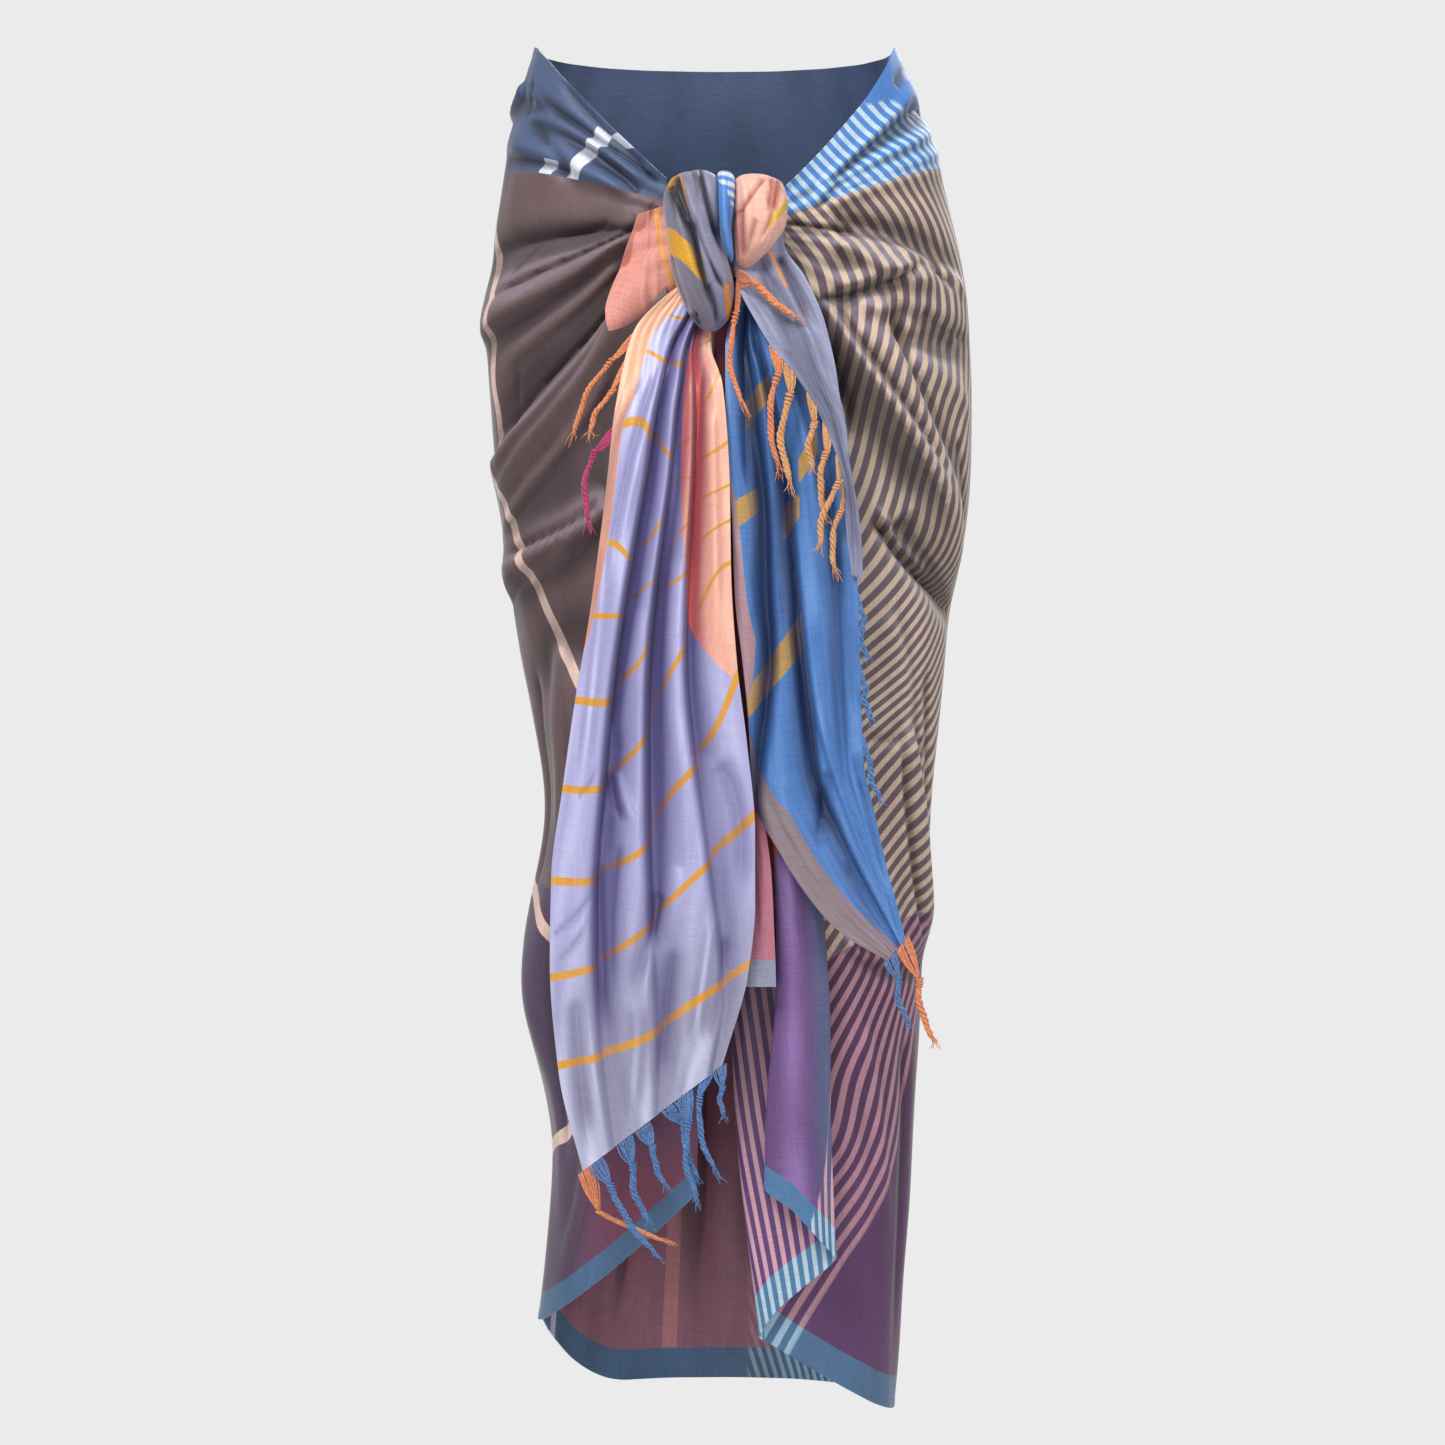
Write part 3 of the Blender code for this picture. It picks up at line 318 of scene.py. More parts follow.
CREASES_GREY = table(
    FOLD_COLUMNS,
    (40, -128, 50, -148, 66, -190, -4.6, 3, 3.4, 0.7), (22, -110, 34, -150, 60, -212, -2, 3, 3, 0.8),
    (38, -140, 58, -178, 76, -236, 1.8, 4, 3, 0.8), (46, -196, 64, -226, 82, -272, -1.8, 3, 3, 0.8),
    (88, -270, 92, -310, 95, -350, -1.5, 2.5, 2.5, 1),
)
CREASES_INNER = table(
    FOLD_COLUMNS,
    (14, -420, 20, -500, 22, -620, -1.6, 4, 3, 1), (24, -520, 28, -570, 29, -640, 1.2, 3, 3, 1),
)

# Numbers of the orange stripes on the left end
LEFT_STRIPES = table(
    "u v number",
    (0.00, 1.00, -1), (0.5, 1.00, -0.9), (1.00, 0.99, -0.9), (0.02, 0.905, 0), (0.49, 0.92, 0),
    (1.00, 0.895, 0), (0.02, 0.83, 1), (0.25, 0.825, 1), (0.54, 0.79, 1), (0.73, 0.76, 1), (0.97, 0.715, 1),
    (0.00, 0.73, 2), (0.24, 0.735, 2), (0.48, 0.715, 2), (0.54, 0.68, 2), (0.82, 0.62, 2), (0.96, 0.575, 2),
    (0.00, 0.635, 3), (0.17, 0.645, 3), (0.42, 0.61, 3), (0.52, 0.56, 3), (0.77, 0.485, 3), (0.93, 0.45, 3),
    (0.00, 0.545, 4), (0.19, 0.555, 4), (0.42, 0.515, 4), (0.5, 0.46, 4), (0.65, 0.45, 4), (0.04, 0.47, 5),
    (0.22, 0.475, 5), (0.51, 0.425, 5), (0.02, 0.405, 6), (0.1, 0.405, 6), (0.33, 0.412, 6), (0.6, 0.355, 6),
    (1.00, 0.33, 6), (0.02, 0.3, 7), (0.3, 0.304, 7), (0.62, 0.325, 7), (1.00, 0.25, 7), (0.3, 0.05, 10),
    (0.9, 0.02, 10),
)

# The mustard stripes that the right end's folds leave in sight: their sides, and the heights of their
# upper and lower edges at each side
MUSTARD = table(
    "left right high_left high_right low_left low_right",
    (16, 33.5, -231, -210, -253, -230), (54, 67, -272, -252, -291, -270), (3, 26, -306, -292, -327, -310),
    (43, 54.5, -305, -298, -331, -315), (10, 56.5, -447, -381, -466, -410),
)

# The ridge that falls from the knot over the right hip, whose near side is painted in deep shade
HIP_RIDGE = table("z angle", (-150, 19), (-180, 25), (-215, 33), (-262, 45), (-312, 61), (-345, 72))

# The wide white warp stripe in the left waist, which the creases part: the stretch of cloth, the angles
# at its upper and lower ends, and half its breadth
WHITE = table(
    "cloth_high cloth_low angle_high angle_low half",
    (-5, 15, -22, -25, 6.5), (16, 38, -29.6, -31, 6.5), (38, 99, -31.6, -39, 6.2), (80, 99, -47, -50.5, 7.5),
)

# The right end's selvedge: how many millimetres of it show at shares down its left edge
SELVEDGE_WIDTH = (
    (0.0, 0.30, 0.38, 0.45, 0.52, 0.59, 0.615, 0.66, 0.70, 0.77, 0.86, 0.93, 1.0),
    (0.0, 0.0, 5.0, 8.0, 11.0, 5.0, 0.0, 0.0, 6.0, 20.0, 20.0, 20.0, 12.0),
)

# The salmon ground on the left end's right side, and the peach strip on its left: where each ends
SALMON_SIDE = table(
    "v u",
    (0.00, 0.8), (0.155, 0.77), (0.285, 0.63), (0.355, 0.61), (0.435, 0.66), (0.495, 0.7), (0.525, 0.8),
    (0.565, 0.97), (0.6, 1.2),
)
PEACH_SIDE = table(
    "v u",
    (0.00, 0.5), (0.07, 0.46), (0.12, 0.34), (0.16, 0.27), (0.22, 0.21), (0.27, 0.165), (0.3, 0.085),
    (0.4, 0.06), (0.49, 0.02), (0.52, -0.1),
)

# The knot's lobes by height: their sides across the figure and how far they stand forward
KNOT_LOOP = table(
    "z left right proud",
    (-66, -27, -6, 14), (-73, -38, -3, 24), (-89, -42, -3, 33), (-110, -40, -2, 38), (-132, -37, 4, 38),
    (-152, -31, 8, 34), (-168, -24, 6, 25), (-181, -17, 0, 12),
)
KNOT_SLIVER = table(
    "z left right proud",
    (-67, -5, 7, 13), (-76, -3, 9, 21), (-90, -3, 8.5, 27), (-110, -2, 7, 26), (-132, 4, 8, 18),
)
KNOT_LOBE = table(
    "z left right proud",
    (-69, 8, 36, 10), (-76, 8.5, 43, 19), (-90, 8, 46, 25), (-104, 7.5, 45, 26), (-118, 8, 37, 21),
    (-129, 9, 27, 13), (-136, 11, 20, 6),
)

# Creases of the knot's lobes, in millimetres across and up
CREASES_LOOP = table(
    FOLD_COLUMNS,
    (-33, -72, -21, -112, -5.6, -176, -6.4, 1.2, 3.4, 1), (-27, -72, -17, -112, -3, -168, 2.8, 4.5, 5, 1),
    (-16.4, -64, -9, -93, 4.4, -140, -5, 1.2, 3, 1), (-10.4, -68, -4, -96, 6.4, -136, 1.8, 4, 3, 1),
    (-20.4, -104, -8, -136, 3.6, -156, -4.4, 1.2, 3, 1), (-38, -80, -32, -94, -20.4, -116, -3.6, 1.8, 3, 1),
    (-20, -168, -17.5, -178, -13, -186, -3, 1.6, 2.4, 1), (-37, -128, -31, -150, -21, -172, -2.2, 1.6, 3, 1),
    (-10, -150, -5, -164, -3, -182, -2.4, 2, 3, 1), (-24, -64, -19, -84, -16, -104, -1.6, 2, 3, 1),
)
CREASES_LOBE = table(
    FOLD_COLUMNS,
    (31, -74, 20, -88, 9, -104, -2.6, 0.9, 2.4, 1), (42, -72, 37, -98, 22, -126, -3.4, 1.4, 3.4, 1),
    (36, -68, 35, -84, 33, -100, -2, 1.4, 2.4, 1), (13, -96, 13, -112, 14, -134, -2.4, 1.8, 3.2, 1),
    (24, -104, 20, -116, 15, -136, -1.8, 1.8, 3, 1), (39, -96, 30, -112, 18, -134, 1.6, 3, 3.6, 1),
)
CREASES_SLIVER = table(
    FOLD_COLUMNS,
    (3, -70, 4, -92, 6, -126, -1.6, 1.2, 2, 1), (-1, -70, 0, -92, 3, -120, 1.2, 2, 2, 1),
)

# The mustard patch on the loop: its upper and lower edges across the figure
LOOP_PATCH = table(
    "x high low",
    (-42, -107, -124), (-38, -109.5, -128), (-33, -113, -131), (-28, -118.5, -135), (-20.5, -126, -143),
    (-17, -132, -147), (-9.4, -153.3, -153.3),
)

# Tassels: where each hangs from its edge, as a share of that edge, then how far its binding knot and
# its foot lie from that root. Bulk is the lock's thickness, and dye picks its threads.
TASSEL_COLUMNS = "root knot_x knot_z knot_out foot_x foot_z foot_out bulk dye"
TASSELS_LEFT_FOOT = table(
    TASSEL_COLUMNS,
    (0.02, 10, -30, 3, 57, -51, 3, 5, 1), (0.09, 11, -16, 8, 42, -62, 11, 5, 0),
    (0.3, 6, -18, 3, 17, -58, 3, 5, 0), (0.42, 8, -14, 3, 18, -42, 3, 4.5, 0),
    (0.62, 11, -14, 3, 20, -50, 3, 5, 0), (0.74, 2, -20, 9, 8, -72, 11, 4.5, 0),
    (0.89, -5, -14, 3, 6, -66, 3, 4.5, 0), (0.98, 2, -14, 3, 3, -34, 5, 4, 0),
)
TASSELS_LEFT_SIDE = table(
    TASSEL_COLUMNS,
    (0.32, -13, -14, 2, -40, -67, 2, 5, 1), (0.5, -7, -16, 7, -23, -46, 9, 4.5, 1),
    (0.82, -12, -12, 2, -16, -64, 3, 4.5, 2),
)
TASSELS_GREY = table(
    TASSEL_COLUMNS,
    (0.03, 1, -16, 4, 2, -80, 4, 5, 1), (0.17, 0, -20, 5, 1, -83, 5, 5.5, 3),
    (0.42, 2, -17, 3, 1, -49, 3, 5, 3), (0.6, -1, -16, 3, -1, -61, 3, 5, 3),
    (0.78, 0, -14, 8, -13, -59, 10, 5, 3), (0.93, -2, -14, 3, -6, -55, 3, 4.5, 3),
)
TASSELS_KNOT = table(
    TASSEL_COLUMNS,
    (0.7, 12, -4, 18, 42, -30, 20, 6, 1), (0.95, -2, -20, 8, 2, -84, 16, 4.5, 1),
)
TASSELS_RIGHT_SIDE = table(
    TASSEL_COLUMNS,
    (0.08, 4, -13, 2, 6, -41, 2, 4.5, 0), (0.35, 4, -11, 2, 8, -34, 2, 4.5, 0),
    (0.66, 5, -12, 2, 12, -38, 2, 4.5, 0),
)
TASSELS_RIGHT_FOOT = table(
    TASSEL_COLUMNS,
    (0.15, 6, -14, 3, 13, -46, 3, 4.5, 0), (0.85, 12, -26, 3, 22, -69, 4, 5, 1),
)


def curve(knots: Array, values: Array, at: Array) -> Array:
    """A smooth curve through a table's rows that never overshoots them, read at the places given.

    Between two rows it is the cubic whose slope at each row is the harmonic mean of the slopes beside
    it, or zero where those differ in sign.

    Args:
        knots: the rows' places, rising.
        values: the rows' values.
        at: the places to read.

    Returns:
        One value for each place.
    """
    step = np.diff(knots)
    slope = np.diff(values) / step
    tangent = np.concatenate([slope[:1], np.zeros(len(knots) - 2), slope[-1:]])
    before, after = slope[:-1], slope[1:]
    same_way = before * after > 0
    total = np.where(same_way, before + after, 1)
    tangent[1:-1] = np.where(same_way, 2 * before * after / total, 0)
    at = np.clip(at, knots[0], knots[-1])
    span = np.clip(np.searchsorted(knots, at, side="right") - 1, 0, len(step) - 1)
    size = step[span]
    t = (at - knots[span]) / size
    rise = values[span + 1] - values[span]
    bend = (1 - t) * tangent[span] * size - t * tangent[span + 1] * size + (2 * t - 1) * rise
    return values[span] + t * rise + t * (1 - t) * bend


def read(rows: Table, key: str, column: str, at: Array) -> Array:
    """One column of a table at places along its key column, which may run up or down."""
    order = np.argsort(rows[key])
    return curve(rows[key][order], rows[column][order], np.asarray(at, float))


def smooth_step(t: Array) -> Array:
    """Rises from 0 to 1 as t does, level at both ends."""
    t = np.clip(t, 0, 1)
    return t * t * (3 - 2 * t)


def keep_sign(wave: Array, power: float) -> Array:
    """A wave's size raised to a power, with the wave's own sign."""
    return np.sign(wave) * np.abs(wave) ** power


def hollow(height: Array, passes: int) -> Array:
    """How far a surface lies below its own surroundings: its height averaged with its neighbours, less it.

    Args:
        height: heights on a grid.
        passes: how many times each place is averaged with the four beside it.

    Returns:
        The depth at each place, below zero on a ridge.
    """
    wide = height
    for _ in range(passes):
        edged = np.pad(wide, 1, mode="edge")
        wide = (edged[:-2, 1:-1] + edged[2:, 1:-1] + edged[1:-1, :-2] + edged[1:-1, 2:] + wide) / 5
    return wide - height


@dataclass(frozen=True)
class NumberField:
    """A smooth field through numbered places: a sum of r squared times log r, plus a plane.

    Attributes:
        places: where the numbers stand, two coordinates each.
        numbers: the numbers.
        slack: how far it may pass them by, for a smoother field.
    """

    places: Array
    numbers: Array
    slack: float = 0.0

    @staticmethod
    def _bend(gap: Array) -> Array:
        """r squared times log r, which bends a thin plate least."""
        return gap**2 * np.log(np.maximum(gap, 1e-9))

    def __call__(self, x: Array, y: Array) -> Array:
        """The field at places x, y.

        Args:
            x: first coordinates.
            y: second coordinates, in the same shape.

        Returns:
            The field's values in that shape.
        """
        size = np.ptp(self.places, axis=0).max()
        own = self.places / size
        count = len(own)
        gaps = np.linalg.norm(own[:, None] - own[None], axis=-1)
        plane = np.column_stack([np.ones(count), own])
        system = np.zeros((count + 3, count + 3))
        system[:count, :count] = self._bend(gaps) + self.slack * np.eye(count)
        system[:count, count:] = plane
        system[count:, :count] = plane.T
        weights = np.linalg.solve(system, np.concatenate([self.numbers, np.zeros(3)]))
        at = np.stack([x, y], axis=-1).reshape(-1, 2) / size
        total = weights[count] + at @ weights[count + 1 :]
        for place, weight in zip(own, weights):
            total = total + weight * self._bend(np.linalg.norm(at - place, axis=-1))
        return total.reshape(np.shape(x))


def fold_lift(rows: Table, across: Array, z: Array, unit: float = 1.0) -> Array:
    """How far a table's folds lift a surface.

    Each fold follows a parabola through its three points. Its height falls off with the distance from
    that way as exp(-(distance / breadth) ** power), and fades towards both ends. The power is 2 for a
    ridge, and 1.3 for a crease, which is sharper.

    Args:
        rows: the folds.
        across: places across the surface, in millimetres.
        z: their heights.
        unit: millimetres for one unit of the table's own places across.

    Returns:
        The lift in millimetres at each place.
    """
    total = np.zeros(np.broadcast(across, z).shape)
    t = np.linspace(0, 1, 13)
    first, middle, last = (1 - t) * (1 - 2 * t), 4 * t * (1 - t), t * (2 * t - 1)
    for row in each_row(rows):
        way_s = unit * (first * row["across_1"] + middle * row["across_2"] + last * row["across_3"])
        way_z = first * row["z_1"] + middle * row["z_2"] + last * row["z_3"]
        reach = 3 * max(row["left"], row["right"])
        near = (across > way_s.min() - reach) & (across < way_s.max() + reach)
        near &= (z > way_z.min() - reach) & (z < way_z.max() + reach)
        if near.any():
            total[near] += one_fold(row, way_s, way_z, across[near], z[near])
    return total


def one_fold(row: Row, way_s: Array, way_z: Array, across: Array, z: Array) -> Array:
    """The lift of one fold, by the distance from the nearest point of its way.

    Args:
        row: the fold's height, breadths and narrowing.
        way_s: points of its way, across the surface.
        way_z: their heights.
        across: the places, across the surface.
        z: their heights.

    Returns:
        The lift at each place.
    """
    nearest = np.full(across.shape, 1e9)
    side = np.zeros(across.shape)
    along = np.zeros(across.shape)
    legs = len(way_s) - 1
    for k in range(legs):
        ds, dz = way_s[k + 1] - way_s[k], way_z[k + 1] - way_z[k]
        share = np.clip(((across - way_s[k]) * ds + (z - way_z[k]) * dz) / (ds * ds + dz * dz), 0, 1)
        off_s = across - (way_s[k] + share * ds)
        off_z = z - (way_z[k] + share * dz)
        distance = np.hypot(off_s, off_z)
        closer = distance < nearest
        nearest = np.where(closer, distance, nearest)
        side = np.where(closer, ds * off_z - dz * off_s, side)
        along = np.where(closer, (k + share) / legs, along)
    breadth = np.where(side > 0, row["left"], row["right"])
    breadth = breadth * (row["narrow"] + (1 - row["narrow"]) * along)
    fade = smooth_step(along / 0.12 + 0.25) * smooth_step((1 - along) / 0.3)
    power = 2.0 if row["height"] > 0 or max(row["left"], row["right"]) > 8 else 1.3
    rounded = np.hypot(nearest, 0.6) - 0.6
    return row["height"] * fade * np.exp(-((rounded / breadth) ** power))


class WornForm:
    """The cloth's form as it is worn: rings round the figure, with folds that run from the knot."""

    def gathers(self, angle: Array, z: Array) -> Array:
        """Small gathers that fan out from the knot, and the slight unevenness of worn cloth.

        Round the knot they are a wave of the bearing from it, whose height falls with the distance.
        Elsewhere three slow waves, each set across the others, make a low swell.

        Args:
            angle: degrees round the figure.
            z: heights.

        Returns:
            The lift at each place.
        """
        across = np.where(angle > 180, angle - 360, angle) * ARC_PER_DEGREE
        off_x, off_z = across - 4, z + 104
        bearing = np.arctan2(off_z, np.abs(off_x))
        away = np.hypot(off_x, off_z)
        wave = np.sin(17 * bearing + 1.3 * np.sin(4 * bearing)) + 0.6 * np.sin(31 * bearing + 0.8)
        fan = 1.1 * wave * np.exp(-(((away - 34) / 46) ** 2))
        fan = np.where(np.abs(angle) < 100, fan, 0)
        turn = np.radians(angle)
        swell = np.sin(20 * turn + z / 61) + np.sin(z / 19 - 9 * turn + 1.1)
        swell = swell + 0.6 * np.sin(17 * turn + z / 31 + 0.4) * np.sin(z / 53)
        return fan + 0.3 * swell

    def point(self, angle: Array, z: Array) -> tuple[Array, Array]:
        """Points of the form and how far each is lifted.

        A ring is a superellipse with its own half widths and depths, and the lift goes straight out.

        Args:
            angle: degrees round the figure.
            z: heights.

        Returns:
            The points, and the lifts of the folds and creases together.
        """
        turn = np.radians(angle)
        sine, cosine = np.sin(turn), np.cos(turn)
        power = 2 / SECTION_POWER
        across = np.where(sine < 0, read(RING, "z", "left", z), read(RING, "z", "right", z))
        deep = np.where(cosine > 0, read(RING, "z", "front", z), read(RING, "z", "back", z))
        x = across * keep_sign(sine, power)
        y = -deep * keep_sign(cosine, power)
        out_x, out_y = sine * deep, -cosine * across
        size = np.hypot(out_x, out_y)
        lift = self.gathers(angle, z)
        # An angle past the back is the same place as one on the left.
        for turned in (-360, 0, 360):
            arc = (angle + turned) * ARC_PER_DEGREE
            lift = lift + fold_lift(FOLDS, arc, z, ARC_PER_DEGREE)
            lift = lift + CREASE_DEPTH * fold_lift(CREASES, arc, z, ARC_PER_DEGREE)
        return np.stack([x + lift * out_x / size, y + lift * out_y / size, z], axis=-1), lift

    def front(self, side: str, u: Array, cloth: Array) -> tuple[Array, Array]:
        """Where a front panel lies, from the hip at u 0 to its edge in front at u 1.

        Args:
            side: left or right.
            u: share of the way to the front edge.
            cloth: distance down the cloth.

        Returns:
            The angles and the heights.
        """
        sign = -1 if side == "left" else 1
        low = read(FLOW, "cloth", side + "_front", cloth)
        edge = read(EDGE, "cloth", side, cloth)
        share = np.abs(edge) / read(RING, "z", side, low)
        last = np.degrees(np.arcsin(np.sign(edge) * share ** (SECTION_POWER / 2)))
        angle = sign * 90 * (1 - u) + last * u
        reach = np.abs(np.sin(np.radians(angle))) ** (2 / SECTION_POWER)
        forward = np.clip((1 - reach) / (1 - share), 0, 1)
        high = read(FLOW, "cloth", side + "_side", cloth)
        return angle, high * (1 - forward) + low * forward

    def back(self, u: Array, cloth: Array) -> tuple[Array, Array]:
        """Where the back lies, from the right hip at u 0 to the left hip at u 1.

        Its height is the back's own, and goes over smoothly into each side's near the hips.

        Args:
            u: share of the way round.
            cloth: distance down the cloth.

        Returns:
            The angles and the heights.
        """
        to_right = 1 - smooth_step(u / 0.35)
        to_left = 1 - smooth_step((1 - u) / 0.35)
        z = (
            read(FLOW, "cloth", "right_side", cloth) * to_right
            + read(FLOW, "cloth", "left_side", cloth) * to_left
            + read(FLOW, "cloth", "back", cloth) * (1 - to_right - to_left)
        )
        return 90 + 180 * u, z


def hex_linear(code: str) -> tuple[float, float, float, float]:
    """Turns an sRGB colour to linear light.

    Args:
        code: a hex colour such as '#5b6f93'.

    Returns:
        Linear red, green and blue, and an alpha of 1.
    """
    parts = np.array([int(code[i : i + 2], 16) for i in (1, 3, 5)]) / 255
    linear = np.where(parts <= 0.04045, parts / 12.92, ((parts + 0.055) / 1.055) ** 2.4)
    return (*linear.tolist(), 1.0)


def blank_material(name: str) -> tuple[Material, NodeTree]:
    """A new material with an empty node tree.

    Args:
        name: the finish's name.

    Returns:
        The material and its tree.
    """
    material = bpy.data.materials.new(name)
    material.use_nodes = True
    material.node_tree.nodes.clear()
    return material, material.node_tree


def add_node(tree: NodeTree, kind: str, sockets: dict | None = None, **settings: object) -> Node:
    """Adds a node with its settings, and links or sets its inputs.

    Args:
        tree: the node tree.
        kind: the node's type name.
        sockets: for each input's name or number, another node's output or a plain value.
        settings: the node's own properties.

    Returns:
        The new node.
    """
    node = tree.nodes.new(kind)
    for name, value in settings.items():
        setattr(node, name, value)
    for key, value in (sockets or {}).items():
        if isinstance(value, NodeSocket):
            tree.links.new(value, node.inputs[key])
        else:
            node.inputs[key].default_value = value
    return node


class Where(Enum):
    """How a mark on the cloth says where a dyed stretch lies."""

    PAST = "where the mark is over zero"
    EVERY = "where the mark is within the size of a whole number"
    SHARE = "by the mark itself, from 0 to 1, times the size"


@dataclass(frozen=True)
class Bound:
    """One limit of a dyed stretch: a mark, how it is read, its size and how soft its edge is."""

    mark: str
    where: Where = Where.PAST
    size: float = 0.0
    soft: float = 0.35


@dataclass(frozen=True)
class Dye:
    """A colour laid over the ground, as an sRGB hex value, where all its bounds hold."""

    colour: str
    bounds: tuple[Bound, ...]

    @classmethod
    def share(cls, colour: str, mark: str, most: float) -> "Dye":
        """A dye laid on as far as one mark says, up to its most."""
        return cls(colour, (Bound(mark, Where.SHARE, most),))


@dataclass(frozen=True)
class WovenCloth:
    """Fine handwoven cotton with silk: matt, with uneven threads that show as short streaks.

    Attributes:
        name: the finish's name.
        ground: the colour under all the others.
        dyes: what is woven over it, and the light and shade painted over it, in order.
        roughness: 0.8 for dry cotton, 0.4 where silk shows.
        sheen: how much its fine fibres catch light from the side.
        streak: how strongly single threads differ in colour.
        relief: the strength of the threads' bump.
    """

    name: str
    ground: str
    dyes: tuple[Dye, ...] = ()
    roughness: float = 0.72
    sheen: float = 0.25
    streak: float = 0.16
    relief: float = 0.35

    # Threads are 0.3 mm apart, too fine for the picture, so they are drawn about 1 mm wide.
    THREAD = 1.0
    THREAD_RUN = 26.0

    def material(self) -> Material:
        """Builds the material: dyes by the cloth's marks, then thread streaks, sheen and bump.

        Returns:
            The material.
        """
        material, tree = blank_material(self.name)
        marks: dict[str, NodeSocket] = {}
        colour: object = hex_linear(self.ground)
        for dye in self.dyes:
            factor = None
            for bound in dye.bounds:
                share = self._share(tree, marks, bound)
                if factor is None:
                    factor = share
                else:
                    both = add_node(tree, "ShaderNodeMath", {0: factor, 1: share}, operation="MULTIPLY")
                    factor = both.outputs[0]
            sockets = {0: factor, 6: colour, 7: hex_linear(dye.colour)}
            colour = add_node(tree, "ShaderNodeMix", sockets, data_type="RGBA").outputs[2]
        uv = add_node(tree, "ShaderNodeUVMap", uv_map="cloth")
        streaks = []
        for across, along in ((self.THREAD, self.THREAD_RUN), (self.THREAD_RUN, self.THREAD)):
            scaled = add_node(tree, "ShaderNodeMapping", {0: uv.outputs[0], 3: (1 / across, 1 / along, 1)})
            sockets = {"Vector": scaled.outputs[0], "Scale": 1.0, "Detail": 2.0}
            streaks.append(add_node(tree, "ShaderNodeTexNoise", sockets).outputs[0])
        threads = add_node(tree, "ShaderNodeMath", {0: streaks[0], 1: streaks[1]}, operation="ADD")
        low, high = 1 - self.streak, 1 + self.streak
        sockets = {0: threads.outputs[0], 1: 0.7, 2: 1.3, 3: low, 4: high}
        worth = add_node(tree, "ShaderNodeMapRange", sockets)
        sockets = {0: colour, "Scale": worth.outputs[0]}
        shaded = add_node(tree, "ShaderNodeVectorMath", sockets, operation="SCALE")
        sockets = {"Strength": self.relief, "Distance": 0.0003, "Height": threads.outputs[0]}
        bump = add_node(tree, "ShaderNodeBump", sockets)
        sockets = {
            "Base Color": shaded.outputs[0],
            "Roughness": self.roughness,
            "Sheen Weight": self.sheen,
            "Sheen Roughness": 0.35,
            "Normal": bump.outputs[0],
        }
        shader = add_node(tree, "ShaderNodeBsdfPrincipled", sockets)
        add_node(tree, "ShaderNodeOutputMaterial", {0: shader.outputs[0]})
        return material

    def _share(self, tree: NodeTree, marks: dict, bound: Bound) -> NodeSocket:
        """Adds the nodes that turn one bound into a share from 0 to 1.

        Args:
            tree: the material's node tree.
            marks: the marks read so far, which this one joins.
            bound: the limit.

        Returns:
            The share's socket.
        """
        if bound.mark not in marks:
            reader = add_node(tree, "ShaderNodeAttribute", attribute_name=bound.mark)
            marks[bound.mark] = reader.outputs["Fac"]
        value: NodeSocket = marks[bound.mark]
        if bound.where is Where.SHARE:
            sockets = {0: value, 1: bound.size}
            return add_node(tree, "ShaderNodeMath", sockets, operation="MULTIPLY").outputs[0]
        if bound.where is Where.EVERY:
            value = add_node(tree, "ShaderNodeMath", {0: value, 1: 0.5}, operation="PINGPONG").outputs[0]
        start, end = (0.0, 1.0) if bound.where is Where.PAST else (1.0, 0.0)
        low, high = bound.size - bound.soft, bound.size + bound.soft
        return add_node(tree, "ShaderNodeMapRange", {0: value, 1: low, 2: high, 3: start, 4: end}).outputs[0]


def fill_mesh(name: str, points: Array, quads: Array) -> Mesh:
    """A mesh from points in millimetres and four-cornered faces, facing out where it is closed.

    Args:
        name: the mesh's name.
        points: one row of x, y, z for each point.
        quads: one row of four point numbers for each face.

    Returns:
        The mesh in metres, smooth shaded.
    """
    a, b, c, d = (points[quads[:, i]] for i in range(4))
    volume = (a * np.cross(b, c)).sum() + (a * np.cross(c, d)).sum()
    if volume < 0:
        quads = quads[:, ::-1]
    mesh = bpy.data.meshes.new(name)
    mesh.vertices.add(len(points))
    mesh.vertices.foreach_set("co", (points * MM).astype(np.float32).ravel())
    mesh.loops.add(quads.size)
    mesh.loops.foreach_set("vertex_index", quads.astype(np.int32).ravel())
    mesh.polygons.add(len(quads))
    mesh.polygons.foreach_set("loop_start", np.arange(0, quads.size, 4, dtype=np.int32))
    mesh.polygons.foreach_set("use_smooth", np.ones(len(quads), bool))
    mesh.update(calc_edges=True)
    return mesh


def set_marks(mesh: Mesh, marks: Marks, uv: Array) -> None:
    """Writes named numbers on the points, and the cloth's own millimetres as a UV map.

    Args:
        mesh: the mesh.
        marks: one number for each point, by name.
        uv: millimetres across and down the cloth for each point.
    """
    for name, values in marks.items():
        layer = mesh.attributes.new(name, "FLOAT", "POINT")
        layer.data.foreach_set("value", np.asarray(values, np.float32).ravel())
    corners = np.empty(len(mesh.loops), np.int32)
    mesh.loops.foreach_get("vertex_index", corners)
    mesh.uv_layers.new(name="cloth").data.foreach_set("uv", uv[corners].astype(np.float32).ravel())


def place(name: str, mesh: Mesh, *materials: Material) -> Object:
    """Puts a finished mesh in the scene as a piece that rides on the one body.

    Args:
        name: the piece's name.
        mesh: its mesh.
        materials: its finishes, in order.

    Returns:
        The piece.
    """
    for material in materials:
        mesh.materials.append(material)
    piece = bpy.data.objects.new(name, mesh)
    bpy.context.scene.collection.objects.link(piece)
    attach(piece, "root")
    LOG.info("%s: %d faces", name, len(mesh.polygons))
    return piece


